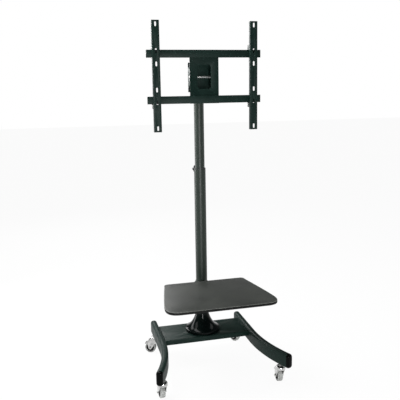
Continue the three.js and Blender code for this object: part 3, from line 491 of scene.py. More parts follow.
def addRod(name, radius, start, end, sides=32):
    start, end = Vector(start), Vector(end)
    allOff()
    bpy.ops.mesh.primitive_cylinder_add(vertices=sides, radius=radius, depth=(end - start).length)
    rod = bpy.context.object
    rod.name = name
    turn = (end - start).to_track_quat("Z", "Y").to_euler()
    return settle(rod, (start + end) / 2, turn)


def addBlock(name, low, high):
    low, high = Vector(low), Vector(high)
    allOff()
    bpy.ops.mesh.primitive_cube_add(size=1, location=(low + high) / 2)
    block = bpy.context.object
    block.name = name
    block.scale = high - low
    return settle(block, block.location)


def cutAway(piece, *tools):
    for tool in tools:
        applyModifier(piece, "BOOLEAN", operation="DIFFERENCE", object=tool, solver="EXACT")
        bpy.data.objects.remove(tool)
    return piece


def joined(name, *parts):
    allOff()
    for part in parts:
        part.select_set(True)
    bpy.context.view_layer.objects.active = parts[0]
    bpy.ops.object.join()
    parts[0].name = name
    return parts[0]


def paint(piece, slotName):
    piece.data.materials.clear()
    piece.data.materials.append(finish[slotName])
    return piece


def complete(piece, body, slotName, *nodes, degrees=32, painted=False):
    if not painted:
        paint(piece, slotName)
    onlyThis(piece)
    bpy.ops.object.shade_smooth_by_angle(angle=math.radians(degrees))
    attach(piece, body)
    if nodes:
        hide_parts(*nodes)
    return piece


def copyOf(piece, name):
    onlyThis(piece)
    bpy.ops.object.duplicate()
    twin = bpy.context.object
    twin.name = name
    return twin


# Points of a rounded rectangle, anticlockwise from its right side
def roundedRing(halfWidth, halfHeight, radius, steps=8):
    points = []
    for corner in range(4):
        middleX = (halfWidth - radius) * (1 if corner in (0, 3) else -1)
        middleY = (halfHeight - radius) * (1 if corner in (0, 1) else -1)
        for step in range(steps + 1):
            turn = (corner + step / steps) * math.pi / 2
            points.append((middleX + radius * math.cos(turn), middleY + radius * math.sin(turn)))
    return points


def arcPoints(centre, radius, start, end, steps):
    turns = [start + (end - start) * step / steps for step in range(steps + 1)]
    return [(centre[0] + radius * math.cos(turn), centre[1] + radius * math.sin(turn)) for turn in turns]


def quadCurve(start, bend, end, steps):
    points = []
    for step in range(steps + 1):
        share = step / steps
        points.append(tuple(
            (1 - share) ** 2 * a + 2 * share * (1 - share) * b + share ** 2 * c
            for a, b, c in zip(start, bend, end)))
    return points


# A CAD node's shape with its doubles merged and its sharp edges rounded
def roundedCopy(node, name, width, segments=2, degrees=50):
    piece = copyOf(frame["nodes"][node], name)
    for key in [key for key in piece.keys() if key.startswith("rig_")]:
        del piece[key]
    piece.parent = None
    startEdit(piece)
    bpy.ops.mesh.remove_doubles(threshold=0.000005)
    bpy.ops.mesh.dissolve_limited(angle_limit=math.radians(1))
    endEdit()
    return roundEdges(piece, width, segments, degrees)


# Mast
tubes = {"wall": 0.002, "rim": 0.0006, "steps": 96}


def buildTube(name, low, high, body, node):
    radius = (high.x - low.x) / 2
    inner = radius - tubes["wall"]
    rim = tubes["rim"]
    tube = spun(name, [
        (radius - rim, low.z), (radius, low.z + rim), (radius, high.z - rim), (radius - rim, high.z),
        (inner + rim, high.z), (inner, high.z - rim), (inner, low.z + rim), (inner + rim, low.z)],
        tubes["steps"])
    settle(tube, column)
    # The lighter copy of the frame paint paints in the column's brighter light
    tube.data.materials.append(litTubePaint)
    return complete(tube, body, "frame_paint", node, painted=True)


collarShape = {"edge": 0.0016, "groove": 0.0007, "bossRadius": 0.009, "wall": 0.0032, "slitWidth": 0.0016}


def buildCollar():
    cfg = collarShape
    low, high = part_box("height_collar")
    top = high.z
    knobZ = jointByName["height_knob_turn"]["pos_m"][2]
    bottom = knobZ - cfg["bossRadius"] + air
    outer = -low.x
    inner = lowerHigh.x + air
    bore = upperHigh.x + 0.0004
    lip = top - 0.003
    middle = (top + bottom) / 2
    ring = spun("collarRing", [
        (inner, bottom), (outer - cfg["edge"], bottom), (outer - cfg["edge"] / 3, bottom + cfg["edge"] / 3),
        (outer, bottom + cfg["edge"]), (outer, middle - 0.002), (outer - cfg["groove"], middle - 0.0012),
        (outer - cfg["groove"], middle + 0.0012), (outer, middle + 0.002), (outer, top - cfg["edge"]),
        (outer - cfg["edge"] / 3, top - cfg["edge"] / 3), (outer - cfg["edge"], top),
        (bore, top), (bore, lip), (inner, lip)], 96)
    settle(ring, column)
    bossEnd = high.y
    boss = addRod("collarBoss", cfg["bossRadius"], (0, column.y + inner + 0.001, knobZ), (0, bossEnd, knobZ), 48)
    roundEdges(boss, 0.0012, 3)
    rib = addBlock(
        "collarRib", (-0.0016, column.y + inner + 0.001, bottom + 0.001),
        (0.0016, bossEnd - 0.004, bottom + 0.004))
    roundEdges(rib, 0.0006)
    collar = joined("heightCollar", ring, boss, rib)
    bore = addRod("collarBore", 0.0044, (0, column.y, knobZ), (0, bossEnd + 0.01, knobZ))
    cutAway(collar, bore)
    complete(collar, "base", "black_plastic", "height_collar")


def buildMastCap():
    low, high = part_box("mast_cap")
    radius = high.x
    edge = 0.0018
    top = high.z
    crown = [
        (radius, top - 0.004), (radius, top - edge), (radius - edge * 0.3, top - edge * 0.3),
        (radius - edge, top), (radius * 0.62, top), (radius * 0.58, top - 0.0006), (0, top - 0.0006)]
    spigot = upperHigh.x - tubes["wall"] - air
    cap = spun("mastCap", [(0, low.z), (spigot, low.z), (spigot, top - 0.004)] + crown, 96)
    settle(cap, column)
    complete(cap, "mast_upper", "black_plastic", "mast_cap")


# Star knobs
star = {
    "radius": 0.020, "thickness": 0.015, "lobes": 6, "lobeDepth": 0.0034, "edge": 0.0024, "points": 96,
    "hubRadius": 0.009, "hubLength": 0.004, "screwRadius": 0.004, "dishRadius": 0.0105, "dishDepth": 0.0009,
}


def starGrip(name):
    cfg = star
    outline = []
    for step in range(cfg["points"]):
        turn = 2 * math.pi * step / cfg["points"]
        wave = (1 - math.cos(cfg["lobes"] * turn)) / 2
        radius = cfg["radius"] - cfg["lobeDepth"] * wave ** 1.4
        outline.append((radius * math.cos(turn), radius * math.sin(turn), cfg["hubLength"]))
    grip = drawnOut(name, outline, (0, 0, cfg["thickness"]))
    roundEdges(grip, cfg["edge"], 4, 60)
    dish = addRod(
        "dish", cfg["dishRadius"], (0, 0, cfg["hubLength"] + cfg["thickness"] - cfg["dishDepth"]),
        (0, 0, cfg["hubLength"] + cfg["thickness"] + 0.01), 64)
    cutAway(grip, dish)
    hub = addRod("hub", cfg["hubRadius"], (0, 0, 0), (0, 0, cfg["hubLength"] + 0.001), 48)
    roundEdges(hub, 0.0007)
    grip = joined(name, grip, hub)
    return paint(grip, "black_plastic")


def buildClampKnob(name, node, body, jointName):
    pivot = Vector(jointByName[jointName]["pos_m"])
    low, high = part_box(node)
    knob = starGrip(name)
    screw = addRod("screw", star["screwRadius"], (0, 0, low.y - pivot.y), (0, 0, 0.001), 32)
    roundEdges(screw, 0.0007)
    paint(screw, "zinc")
    knob = joined(name, knob, screw)
    settle(knob, pivot, (-math.pi / 2, 0, 0))
    complete(knob, body, "black_plastic", node, painted=True)


def buildTiltKnob():
    low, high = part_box("tilt_knob")
    pivot = Vector(jointByName["tilt_knob_turn"]["pos_m"])
    knob = starGrip("tiltKnob")
    bore = addRod("knobBore", 0.0044, (0, 0, -0.002), (0, 0, 0.0078))
    cutAway(knob, bore)
    settle(knob, (low.x, pivot.y, pivot.z), (0, math.pi / 2, 0))
    complete(knob, "tilt_knob", "black_plastic", "tilt_knob", painted=True)


buildTube("lowerTube", lowerLow, lowerHigh, "base", "mast_lower")
buildTube("upperTube", upperLow, upperHigh, "mast_upper", "mast_upper")
buildCollar()
buildMastCap()
buildClampKnob("heightKnob", "height_knob", "height_knob", "height_knob_turn")
buildClampKnob("shelfKnob", "shelf_knob", "shelf_knob", "shelf_knob_turn")
buildTiltKnob()
print("mast and knobs made")


# Base cover
bell = {
    "neckRadius": 0.0285, "flangeEdge": 0.013, "flareHeight": 0.082, "wall": 0.0022, "mouthLip": 0.004,
    "edge": 0.0015, "bendAcrossShare": 0.30, "bendUpShare": 0.24, "curveSteps": 32, "steps": 128,
}


def buildBell():
    cfg = bell
    low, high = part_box("base_cover")
    flange = high.x
    bottom = low.z
    top = high.z
    mouth = lowerHigh.x + air
    edge = cfg["edge"]

    def flare(offset):
        start = (flange - edge - offset, bottom + cfg["flangeEdge"])
        end = (cfg["neckRadius"] - offset, bottom + cfg["flareHeight"])
        bend = (end[0] + cfg["bendAcrossShare"] * (start[0] - end[0]),
                start[1] + cfg["bendUpShare"] * (end[1] - start[1]))
        return quadCurve(start, bend, end, cfg["curveSteps"])

    profile = [(flange - cfg["wall"], bottom), (flange - edge / 3, bottom), (flange, bottom + edge / 3)]
    profile += arcPoints((flange - edge, bottom + cfg["flangeEdge"] - edge), edge, 0, math.pi / 2, 6)
    profile += flare(0)[1:]
    profile += arcPoints((cfg["neckRadius"] - edge, top - edge), edge, 0, math.pi / 2, 6)
    profile += [(mouth, top), (mouth, top - cfg["mouthLip"])]
    profile += [(cfg["neckRadius"] - cfg["wall"], top - cfg["mouthLip"])]
    profile += flare(cfg["wall"])[::-1]
    cover = spun("baseCover", profile, cfg["steps"])
    settle(cover, column)
    complete(cover, "base", "gloss_black", "base_cover", degrees=50)


# Legs and their caps
legTube = {
    "width": 0.028, "edgeRadius": 0.011, "wall": 0.002, "straight": 0.219, "bendRadius": 0.648,
    "bendDegrees": 25, "bendSteps": 28, "cornerSteps": 8,
}
legPlug = {"dome": 0.011, "inset": 0.008, "rim": 0.0015, "domeSteps": 9, "spigot": 0.009}


def buildLeg(side, sideName):
    cfg = legTube
    low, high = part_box("leg_" + sideName)
    inner = min(abs(low.x), abs(high.x))
    middleX = side * (inner + cfg["width"] / 2)
    middleZ = (low.z + high.z) / 2
    halfHeight = (high.z - low.z) / 2
    section = roundedRing(cfg["width"] / 2, halfHeight, cfg["edgeRadius"], cfg["cornerSteps"])
    leg = ringOf("leg" + sideName.capitalize(), [(middleX + x, high.y, middleZ + z) for x, z in section])
    bendY = high.y - cfg["straight"]
    startEdit(leg)
    bpy.ops.mesh.extrude_region_move(TRANSFORM_OT_translate={"value": (0, -cfg["straight"], 0)})
    bpy.ops.mesh.spin(
        steps=cfg["bendSteps"], angle=-side * math.radians(cfg["bendDegrees"]),
        center=(middleX + side * cfg["bendRadius"], bendY, middleZ), axis=(0, 0, 1))
    endEdit()
    tidyMesh(leg)
    applyModifier(leg, "SOLIDIFY", thickness=cfg["wall"], offset=-1)
    complete(leg, "base", "frame_paint", "leg_" + sideName, degrees=50)

    turn = math.radians(cfg["bendDegrees"])
    frontX = side * (abs(middleX) + cfg["bendRadius"] * (1 - math.cos(turn)))
    frontY = bendY - cfg["bendRadius"] * math.sin(turn)
    ends = (("rear", (middleX, high.y), 0), ("front", (frontX, frontY), math.pi + side * turn))
    for endName, (x, y), facing in ends:
        cap = legCap("legCap" + endName.capitalize() + sideName.capitalize(), halfHeight)
        place = (x - math.sin(facing) * air, y + math.cos(facing) * air, middleZ)
        settle(cap, place, (0, 0, facing))
        # The caps get the darker copy of the gloss black, painted shade
        cap.data.materials.append(shadedCapPlastic)
        complete(cap, "base", "gloss_black", f"leg_cap_{endName}_{sideName}", degrees=60, painted=True)


def legCap(name, halfHeight):
    cfg = legPlug
    halfWidth = legTube["width"] / 2
    radius = legTube["edgeRadius"]
    steps = legTube["cornerSteps"]
    cap = ringOf(name, [(x, 0, z) for x, z in roundedRing(halfWidth, halfHeight, radius, steps)])
    startEdit(cap)
    bpy.ops.mesh.extrude_region_move(TRANSFORM_OT_translate={"value": (0, cfg["rim"], 0)})
    reached = (halfWidth, halfHeight, cfg["rim"])
    for step in range(1, cfg["domeSteps"] + 1):
        turn = math.pi / 2 * step / cfg["domeSteps"]
        inset = cfg["inset"] * (1 - math.cos(turn))
        target = (halfWidth - inset, halfHeight - inset, cfg["rim"] + cfg["dome"] * math.sin(turn))
        bpy.ops.mesh.extrude_region_move(TRANSFORM_OT_translate={"value": (0, target[2] - reached[2], 0)})
        bpy.ops.transform.resize(
            value=(target[0] / reached[0], 1, target[1] / reached[1]), center_override=(0, target[2], 0))
        reached = target
    bpy.ops.mesh.edge_face_add()
    bpy.ops.mesh.select_all(action="DESELECT")
    endEdit()
    for edge in cap.data.edges:
        edge.select = all(abs(cap.data.vertices[i].co.y) < 1e-7 for i in edge.vertices)
    onlyThis(cap)
    bpy.ops.object.mode_set(mode="EDIT")
    bpy.ops.mesh.select_mode(type="EDGE")
    inner = 1 - (legTube["wall"] + 0.0006) / halfWidth
    innerUp = 1 - (legTube["wall"] + 0.0006) / halfHeight
    bpy.ops.mesh.extrude_region_move(TRANSFORM_OT_translate={"value": (0, 0, 0)})
    bpy.ops.transform.resize(value=(inner, 1, innerUp), center_override=(0, 0, 0))
    bpy.ops.mesh.extrude_region_move(TRANSFORM_OT_translate={"value": (0, -cfg["spigot"], 0)})
    bpy.ops.mesh.edge_face_add()
    bpy.ops.mesh.select_mode(type="VERT")
    endEdit()
    return tidyMesh(cap)


# Tray with its weld beads
beads = {"radius": 0.0026, "pitch": 0.0032, "ripple": 0.16, "sides": 14}


def buildTray():
    tray = roundedCopy("base_tray", "baseTray", 0.0009, 2, 40)
    complete(tray, "base", "frame_paint", "base_tray")
    low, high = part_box("base_tray")
    for side, sideName in ((-1, "Left"), (1, "Right")):
        x = side * (high.x - beads["radius"] * 0.2)
        for level, levelName in ((high.z - 0.0006, "Top"), (low.z + 0.0006, "Bottom")):
            bead = weldBead("weld" + sideName + levelName, high.y - low.y - 0.012)
            settle(bead, (x, low.y + 0.006, level))
            complete(bead, "base", "frame_paint", degrees=60)


def weldBead(name, length):
    cfg = beads
    circle = arcPoints((0, 0), cfg["radius"] * 0.5, 0, 2 * math.pi * (1 - 1 / cfg["sides"]), cfg["sides"] - 1)
    bead = ringOf(name, [(x, 0, z) for x, z in circle])
    startEdit(bead)
    bpy.ops.mesh.edge_face_add()
    steps = int(length / cfg["pitch"]) * 4
    last = 0.5
    for step in range(1, steps + 1):
        ends = min(1, 0.5 + 0.25 * step, 0.5 + 0.25 * (steps - step))
        size = ends * (1 + cfg["ripple"] * math.cos(math.pi / 2 * step))
        bpy.ops.mesh.extrude_region_move(TRANSFORM_OT_translate={"value": (0, length / steps, 0)})
        bpy.ops.transform.resize(value=(size / last, 1, size / last), center_override=(0, length * step / steps, 0))
        last = size
    endEdit()
    return tidyMesh(bead)


buildBell()
buildLeg(-1, "left")
buildLeg(1, "right")
buildTray()
print("base made")


# Shelf
board = {
    "rearY": 0.042, "frontY": 0.377, "rearHalf": 0.182, "frontHalf": 0.228, "flareEndY": 0.285,
    "rearCorner": 0.022, "frontCorner": 0.054, "edge": 0.0022, "curveSteps": 14, "flareSteps": 18,
    "highlightFrom": 0.5, "flatFrom": 0.99,
}


def shelfOutline():
    cfg = board
    rear, front = cfg["rearHalf"], cfg["frontHalf"]
    rearY, frontY = -cfg["rearY"], -cfg["frontY"]
    rearCorner, frontCorner = cfg["rearCorner"], cfg["frontCorner"]
    half = quadCurve((rear - rearCorner, rearY), (rear, rearY), (rear, rearY - rearCorner), cfg["curveSteps"])
    half += quadCurve(
        (rear, rearY - rearCorner), (front, -cfg["flareEndY"]), (front, frontY + frontCorner),
        cfg["flareSteps"])[1:]
    half += quadCurve(
        (front, frontY + frontCorner), (front, frontY), (front - frontCorner, frontY), cfg["curveSteps"])[1:]
    return half + [(-x, y) for x, y in reversed(half)]


def buildBoard():
    low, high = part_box("shelf_board")
    outline = [(x, column.y + y, low.z) for x, y in shelfOutline()]
    top = drawnOut("shelfBoard", outline, (0, 0, high.z - low.z))
    roundEdges(top, board["edge"], 4, 60)
    paint(top, "shelf_black")
    top.data.materials.append(edgeBand)
    top.data.materials.append(edgeHighlight)
    # Faces on the upper rounding get the painted highlight, the other edge faces get the black edge band
    for face in top.data.polygons:
        if board["highlightFrom"] < face.normal.z < board["flatFrom"]:
            face.material_index = 2
        elif abs(face.normal.z) < board["flatFrom"]:
            face.material_index = 1
    complete(top, "shelf", "shelf_black", "shelf_board", painted=True)


bracket = {
    "plate": 0.003, "spineHalf": 0.030, "reach": 0.290, "barDepth": 0.034, "corner": 0.008,
    "rearBarY": 0.096, "rearBarHalf": 0.118, "frontBarHalf": 0.160, "clampWall": 0.0055, "clampHeight": 0.046,
    "gussetX": 0.021, "gusset": 0.004, "gussetReach": 0.235, "gussetTip": 0.009, "bossRadius": 0.009,
    "edge": 0.0005, "screwRadius": 0.0048, "screwHeight": 0.0026,
}


def buildBracket():
    cfg = bracket
    low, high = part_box("shelf_bracket")
    plateTop = high.z
    plateUnder = plateTop - cfg["plate"]
    clampTop = plateUnder - air
    clampUnder = clampTop - cfg["clampHeight"]
    inner = lowerHigh.x + 0.0004
    outer = inner + cfg["clampWall"]
    edge = 0.0012
    ring = spun("clampRing", [
        (inner, clampUnder), (outer - edge, clampUnder), (outer, clampUnder + edge), (outer, clampTop - edge),
        (outer - edge, clampTop), (inner, clampTop)], 96)
    settle(ring, column)

    def flatBar(name, middleY, halfWidth, halfDepth):
        points = roundedRing(halfWidth, halfDepth, cfg["corner"])
        bar = drawnOut(name, [(x, column.y + middleY + y, plateUnder) for x, y in points], (0, 0, cfg["plate"]))
        return roundEdges(bar, cfg["edge"], 2, 60)

    spineHalfDepth = (cfg["reach"] - board["rearY"]) / 2
    halfBar = cfg["barDepth"] / 2
    frontBarY = cfg["reach"] - halfBar
    parts = [
        ring, flatBar("spine", -board["rearY"] - spineHalfDepth, cfg["spineHalf"], spineHalfDepth),
        flatBar("rearBar", -cfg["rearBarY"], cfg["rearBarHalf"], halfBar),
        flatBar("frontBar", -frontBarY, cfg["frontBarHalf"], halfBar)]
    back = -inner - 0.001
    curve = quadCurve(
        (-cfg["gussetReach"], plateUnder - cfg["gussetTip"]), (-board["rearY"], plateUnder - cfg["gussetTip"]),
        (back, clampUnder), 20)
    outline = [(back, plateUnder + 0.0002), (-cfg["gussetReach"], plateUnder + 0.0002)] + curve
    for side in (-1, 1):
        x = side * cfg["gussetX"] - cfg["gusset"] / 2
        gusset = drawnOut("gusset", [(x, column.y + y, z) for y, z in outline], (cfg["gusset"], 0, 0))
        parts.append(roundEdges(gusset, cfg["edge"], 2, 50))
    knobZ = jointByName["shelf_knob_turn"]["pos_m"][2]
    bossEnd = jointByName["shelf_knob_turn"]["pos_m"][1] - air
    boss = addRod("boss", cfg["bossRadius"], (0, column.y + inner + 0.001, knobZ), (0, bossEnd, knobZ), 48)
    parts.append(roundEdges(boss, 0.0009, 3))
    arm = joined("shelfBracket", *parts)
    tools = [
        addRod("tubeWay", inner, (0, column.y, clampUnder - 0.01), (0, column.y, plateTop + 0.01), 96),
        addRod("screwWay", 0.0044, (0, column.y, knobZ), (0, bossEnd + 0.01, knobZ))]
    cutAway(arm, *tools)
    complete(arm, "shelf", "frame_paint", "shelf_bracket")

    places = [(x, -cfg["rearBarY"]) for x in (-0.1, 0.1)] + [(x, -frontBarY) for x in (-0.14, 0.14)]
    for index, (x, y) in enumerate(places):
        head = addRod(
            f"shelfScrew{index + 1}", cfg["screwRadius"], (x, column.y + y, plateUnder - air - cfg["screwHeight"]),
            (x, column.y + y, plateUnder - air), 32)
        roundEdges(head, 0.0011, 4)
        slot = addRod(
            "driveHole", 0.002, (x, column.y + y, plateUnder - 0.02),
            (x, column.y + y, plateUnder - cfg["screwHeight"] + 0.0012), 6)
        cutAway(head, slot)
        complete(head, "shelf", "zinc")


buildBoard()
buildBracket()
print("shelf made")


# Screen head
yoke = {
    "sleeveOuter": 0.026, "sleeveInner": 0.0213, "halfHeight": 0.060, "slit": 0.004, "ear": 0.007,
    "earReach": 0.019, "half": 0.050, "plate": 0.004, "faceY": 0.028, "cheekHalf": 0.044, "cheekRadius": 0.020,
    "edge": 0.0008, "slotReach": 0.030, "slotHalf": 0.0034, "slotDown": 5, "slotUp": 15, "boltHole": 0.0043,
    "bead": 0.0026,
}
tiltPivot = Vector(jointByName["screen_tilt"]["pos_m"])


def buildYoke():
    cfg = yoke
    middle = tiltPivot.z
    low, high = middle - cfg["halfHeight"], middle + cfg["halfHeight"]
    edge = cfg["edge"]
    inner, outer = cfg["sleeveInner"], cfg["sleeveOuter"]
    sleeve = spun("sleeve", [
        (inner, low), (outer - edge, low), (outer, low + edge), (outer, high - edge), (outer - edge, high),
        (inner, high)], 96)
    settle(sleeve, column)
    half = cfg["slit"] / 2
    cutAway(sleeve, addBlock("slitTool", (-half, column.y, low - 0.01), (half, column.y + 0.05, high + 0.01)))
    parts = [sleeve]
    for side in (-1, 1):
        xs = sorted((side * half, side * (half + cfg["ear"])))
        ear = addBlock(
            "ear", (xs[0], column.y + outer - 0.004, low), (xs[1], column.y + outer + cfg["earReach"], high))
        parts.append(roundEdges(ear, edge, 3))
        xs = sorted((side * (cfg["half"] - cfg["plate"]), side * cfg["half"]))
        front = column.y - cfg["faceY"]
        outline = [(front, middle + cfg["cheekHalf"])]
        outline += arcPoints((tiltPivot.y, middle), cfg["cheekRadius"], math.pi * 0.66, math.pi * 1.34, 28)
        outline += [(front, middle - cfg["cheekHalf"])]
        cheek = drawnOut("cheek", [(xs[0], y, z) for y, z in outline], (cfg["plate"], 0, 0))
        slotLow, slotHigh = -math.radians(cfg["slotDown"]), math.radians(cfg["slotUp"])
        reach, halfSlot = cfg["slotReach"], cfg["slotHalf"]
        centre = (tiltPivot.y, middle)
        ends = [(centre[0] + reach * math.cos(turn), centre[1] + reach * math.sin(turn))
                for turn in (slotHigh, slotLow)]
        ring = arcPoints(centre, reach + halfSlot, slotLow, slotHigh, 12)
        ring += arcPoints(ends[0], halfSlot, slotHigh, slotHigh + math.pi, 12)[1:]
        ring += arcPoints(centre, reach - halfSlot, slotHigh, slotLow, 12)[1:]
        ring += arcPoints(ends[1], halfSlot, slotLow + math.pi, slotLow + 2 * math.pi, 12)[1:-1]
        slot = drawnOut("slotTool", [(xs[0] - 0.01, y, z) for y, z in ring], (0.03, 0, 0))
        hole = addRod(
            "boltHole", cfg["boltHole"], (xs[0] - 0.01, *centre), (xs[1] + 0.01, *centre))
        cutAway(cheek, slot, hole)
        parts.append(roundEdges(cheek, edge, 2, 50))
    plate = addBlock(
        "plate", (-cfg["half"], column.y - cfg["faceY"], low),
        (cfg["half"], column.y - cfg["faceY"] + cfg["plate"], high))
    parts.append(roundEdges(plate, edge, 3))
    for side in (-1, 1):
        bead = weldBead("sleeveBead", high - low - 0.01)
        across = math.sqrt(outer ** 2 - (cfg["faceY"] - cfg["plate"]) ** 2)
        settle(bead, (side * across, column.y - cfg["faceY"] + cfg["plate"], low + 0.005), (math.pi / 2, 0, 0))
        parts.append(bead)
    head = joined("tiltYoke", *parts)
    complete(head, "mast_upper", "frame_paint", "tilt_yoke")


# A bolt along X: rods as (radius, start, end, sides)
def crossBolt(name, middle, rods, body, node):
    parts = []
    for radius, start, end, sides in rods:
        x, y, z = middle
        rod = addRod("rod", radius, (x + start, y, z), (x + end, y, z), sides)
        parts.append(roundEdges(rod, 0.0007 if sides == 6 else 0.0004, 3, 25 if sides == 6 else 60))
    bolt = joined(name, *parts)
    return complete(bolt, body, "zinc", node)


bolts = {
    "head": [(0.004, -0.0188, 0.0123, 32), (0.0075, 0.0093, 0.0148, 6), (0.0075, -0.0158, -0.0093, 6)],
    "tilt": [(0.004, -0.053, 0.0578, 32), (0.0065, -0.0558, -0.0503, 6)],
    "arm": [(0.003, -0.0156, 0.0156, 32), (0.005, -0.0188, -0.0153, 6), (0.005, 0.0153, 0.0188, 6)],
}


def middleOf(node):
    low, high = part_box(node)
    return (low + high) / 2


def buildHead():
    buildYoke()
    for number in (1, 2):
        middle = middleOf(f"head_screw_{number}")
        crossBolt(f"headScrew{number}", (0, middle.y, middle.z), bolts["head"], "mast_upper", f"head_screw_{number}")
    crossBolt("tiltBolt", (0, tiltPivot.y, tiltPivot.z), bolts["tilt"], "mast_upper", "tilt_bolt")
    frameCopy = roundedCopy("tilt_frame", "tiltFrame", 0.0007, 2, 50)
    complete(frameCopy, "tilt_frame", "frame_paint", "tilt_frame")
    for sideName in ("left", "right"):
        arm = roundedCopy("screen_arm_" + sideName, "screenArm" + sideName.capitalize(), 0.0006, 2, 50)
        complete(arm, "screen_arm_" + sideName, "frame_paint", "screen_arm_" + sideName)
        crossBolt(
            "armScrew" + sideName.capitalize(), middleOf("arm_screw_" + sideName), bolts["arm"],
            "screen_arm_" + sideName, "arm_screw_" + sideName)


buildHead()
print("screen head made")


# Casters, modelled at the stem with the wheel trailing along +Y
caster = {
    "wheelRadius": 0.025, "axleHeight": 0.02469, "tyreHalf": 0.0105, "tyreInner": 0.0185, "trail": 0.022,
    "cheekGap": 0.025, "cheek": 0.0025, "cheekFoot": 0.008, "crownRadius": 0.020, "crownTop": 0.078,
    "crownUnder": 0.0615, "crownPlate": 0.0055, "crownShoulder": 0.008, "skirt": 0.003, "cheekHalfTop": 0.012,
    "stemBore": 0.0054, "cheekEdge": 0.0009,
}
brakeShoe = {
    "reach": 0.0295, "turn": 75, "ear": 0.0055, "pin": 0.0022, "pinEnd": 0.0147, "boss": 0.0038,
    "inner": 0.028, "thickness": 0.002, "toe": 0.0018, "toeTurn": 42.6, "wideTurn": 60, "endTurn": 38,
    "half": 0.011, "wideHalf": 0.014, "corner": 0.003, "edge": 0.0006, "steps": 14,
}
axleAt = (caster["trail"], caster["axleHeight"])
brakeAt = (
    axleAt[0] + brakeShoe["reach"] * math.cos(math.radians(brakeShoe["turn"])),
    axleAt[1] + brakeShoe["reach"] * math.sin(math.radians(brakeShoe["turn"])))


def forkShape():
    cfg = caster
    bend = cfg["crownShoulder"]
    shoulder = arcPoints((cfg["crownRadius"] - bend, cfg["crownTop"] - bend), bend, 0, math.pi / 2, 12)
    crown = spun("crown", [
        (cfg["stemBore"], cfg["crownTop"] - cfg["crownPlate"]),
        (cfg["crownRadius"] - cfg["skirt"], cfg["crownTop"] - cfg["crownPlate"]),
        (cfg["crownRadius"] - cfg["skirt"], cfg["crownUnder"] + 0.0005),
        (cfg["crownRadius"] - cfg["skirt"] + 0.0005, cfg["crownUnder"]),
        (cfg["crownRadius"] - 0.0006, cfg["crownUnder"]), (cfg["crownRadius"], cfg["crownUnder"] + 0.0006),
        *shoulder, (cfg["stemBore"], cfg["crownTop"])], 64)
    parts = [crown]
    for side in (-1, 1):
        inner = side * cfg["cheekGap"] / 2
        outer = inner + side * cfg["cheek"]
        foot = addRod("foot", cfg["cheekFoot"], (inner, *axleAt), (outer, *axleAt), 48)
        ear = addRod("ear", brakeShoe["ear"], (inner, *brakeAt), (outer, *brakeAt), 48)
        xs = sorted((inner, outer))
        top = addBlock(
            "top", (xs[0], -cfg["cheekHalfTop"], cfg["crownUnder"]),
            (xs[1], cfg["cheekHalfTop"], cfg["crownTop"] - cfg["crownPlate"] + 0.0003))
        cheek = joined("cheek", foot, ear, top)
        startEdit(cheek)
        bpy.ops.mesh.convex_hull()
        endEdit()
        tidyMesh(cheek)
        startEdit(cheek)
        bpy.ops.mesh.dissolve_limited(angle_limit=math.radians(0.5))
        endEdit()
        parts.append(roundEdges(cheek, cfg["cheekEdge"], 3, 50))
    return joined("fork", *parts)


def stemShape():
    cfg = caster
    seat = cfg["crownTop"] + air
    low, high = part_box("caster_stem_rear_left")
    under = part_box("leg_left")[0].z - air
    race = spun("race", [
        (0, seat), (0.0106, seat), (0.011, seat + 0.0004), (0.011, seat + 0.0018), (0.0104, seat + 0.0024),
        (0, seat + 0.0024)], 64)
    nut = addRod("nut", 0.0085, (0, 0, seat + 0.0024), (0, 0, under), 6)
    roundEdges(nut, 0.0007, 3, 25)
    shaft = addRod("shaft", 0.005, (0, 0, low.z), (0, 0, high.z))
    roundEdges(shaft, 0.0006)
    rivet = addRod("rivet", 0.009, (0, 0, low.z), (0, 0, low.z + 0.003), 48)
    roundEdges(rivet, 0.001, 3)
    lock = addRod("lock", 0.008, (0, 0, high.z - 0.011), (0, 0, high.z - 0.003), 6)
    return joined("stem", race, nut, shaft, rivet, lock)


def wheelTurn(piece):
    return settle(piece, (0, *axleAt), (0, math.pi / 2, 0))


def tyreShape():
    cfg = caster
    half, radius, inner = cfg["tyreHalf"], cfg["wheelRadius"], cfg["tyreInner"]
    corner = 0.0028
    tread = radius - 0.00015
    side = arcPoints((tread - corner, half - corner), corner, math.pi / 2, 0, 8)
    profile = [(inner, half), (inner + 0.0012, half)] + side + [(radius, 0.002), (radius, -0.002)]
    profile += [(r, -z) for r, z in reversed(side)] + [(inner + 0.0012, -half), (inner, -half)]
    return wheelTurn(spun("tyre", profile, 96))


def hubShape():
    cfg = caster
    rim = cfg["tyreInner"] - air
    half = cfg["tyreHalf"]
    bore = 0.0043
    side = [
        (rim, half - 0.0002), (rim - 0.0006, half), (rim - 0.0022, half), (rim - 0.0028, half - 0.0012),
        (0.0142, 0.0042), (0.0095, 0.0036), (0.0086, 0.0105), (0.0078, 0.0119), (bore, 0.0119)]
    hub = wheelTurn(spun("hub", side + [(r, -z) for r, z in reversed(side)], 72))
    tools = []
    for step in range(5):
        turn = 2 * math.pi * step / 5 + 0.3
        y = axleAt[0] + 0.0118 * math.cos(turn)
        z = axleAt[1] + 0.0118 * math.sin(turn)
        tools.append(addRod("hubHole", 0.0021, (-0.02, y, z), (0.02, y, z), 24))
    return cutAway(hub, *tools)


def axleShape():
    seat = caster["cheekGap"] / 2 + caster["cheek"] + air
    end = seat + 0.0036
    shaft = addRod("shaft", 0.004, (-end + 0.0002, *axleAt), (end - 0.0002, *axleAt))
    head = addRod("head", 0.0062, (-end, *axleAt), (-seat, *axleAt), 6)
    nut = addRod("nut", 0.0062, (seat, *axleAt), (end, *axleAt), 6)
    for part in (head, nut):
        roundEdges(part, 0.0007, 3, 25)
    return joined("axle", shaft, head, nut)


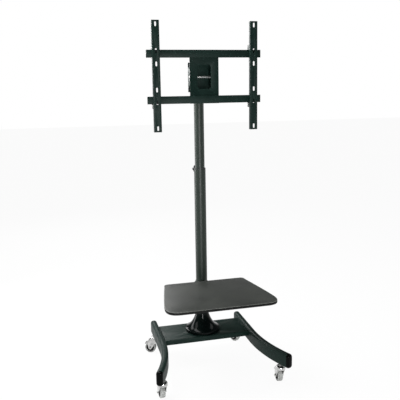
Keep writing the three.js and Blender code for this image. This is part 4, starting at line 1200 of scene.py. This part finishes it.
# A strip that follows the tread, between two angles from straight back
def shoeStrip(name, fromTurn, toTurn, thickness, half):
    start, end = math.radians(toTurn), math.radians(fromTurn)
    ring = arcPoints(axleAt, brakeShoe["inner"] + thickness, start, end, brakeShoe["steps"])
    ring += arcPoints(axleAt, brakeShoe["inner"], end, start, brakeShoe["steps"])
    return drawnOut(name, [(-half, y, z) for y, z in ring], (2 * half, 0, 0))


def brakeShape():
    cfg = brakeShoe
    shoe = shoeStrip("shoe", cfg["turn"], cfg["wideTurn"] - 1, cfg["thickness"], cfg["half"])
    pad = shoeStrip("pad", cfg["wideTurn"], cfg["endTurn"], cfg["thickness"], cfg["wideHalf"])
    toe = shoeStrip("toe", cfg["toeTurn"], cfg["endTurn"], cfg["thickness"] + cfg["toe"], cfg["wideHalf"])
    for part in (pad, toe):
        applyModifier(shoe, "BOOLEAN", operation="UNION", object=part, solver="EXACT")
        bpy.data.objects.remove(part)
    roundEdges(shoe, cfg["edge"], 3, 35)
    boss = addRod("boss", cfg["boss"], (-cfg["half"], *brakeAt), (cfg["half"], *brakeAt), 48)
    roundEdges(boss, cfg["edge"], 3)
    pin = addRod("pin", cfg["pin"], (-cfg["pinEnd"], *brakeAt), (cfg["pinEnd"], *brakeAt), 32)
    return joined("brake", shoe, boss, pin)


def buildCasters():
    kinds = [
        ("fork", forkShape(), "fork_", "chrome"), ("axle", axleShape(), "fork_", "zinc"),
        ("hub", hubShape(), "wheel_", "black_plastic"), ("tyre", tyreShape(), "wheel_", "grey_rubber"),
        ("brake", brakeShape(), "brake_", "chrome"), ("stem", stemShape(), None, "zinc")]
    for cornerName in cornerNames:
        swivel = jointByName["swivel_" + cornerName]["pos_m"]
        axis = jointByName["spin_" + cornerName]["axis"]
        turn = math.atan2(axis[1], axis[0])
        for kind, master, bodyStart, slotName in kinds:
            piece = copyOf(master, f"caster_{kind}_{cornerName}_shape")
            settle(piece, (swivel[0], swivel[1], 0), (0, 0, 0 if kind == "stem" else turn))
            body = bodyStart + cornerName if bodyStart else "base"
            complete(piece, body, slotName, f"caster_{kind}_{cornerName}", degrees=40)
    for kind, master, bodyStart, slotName in kinds:
        bpy.data.objects.remove(master)


buildCasters()
print("casters made")
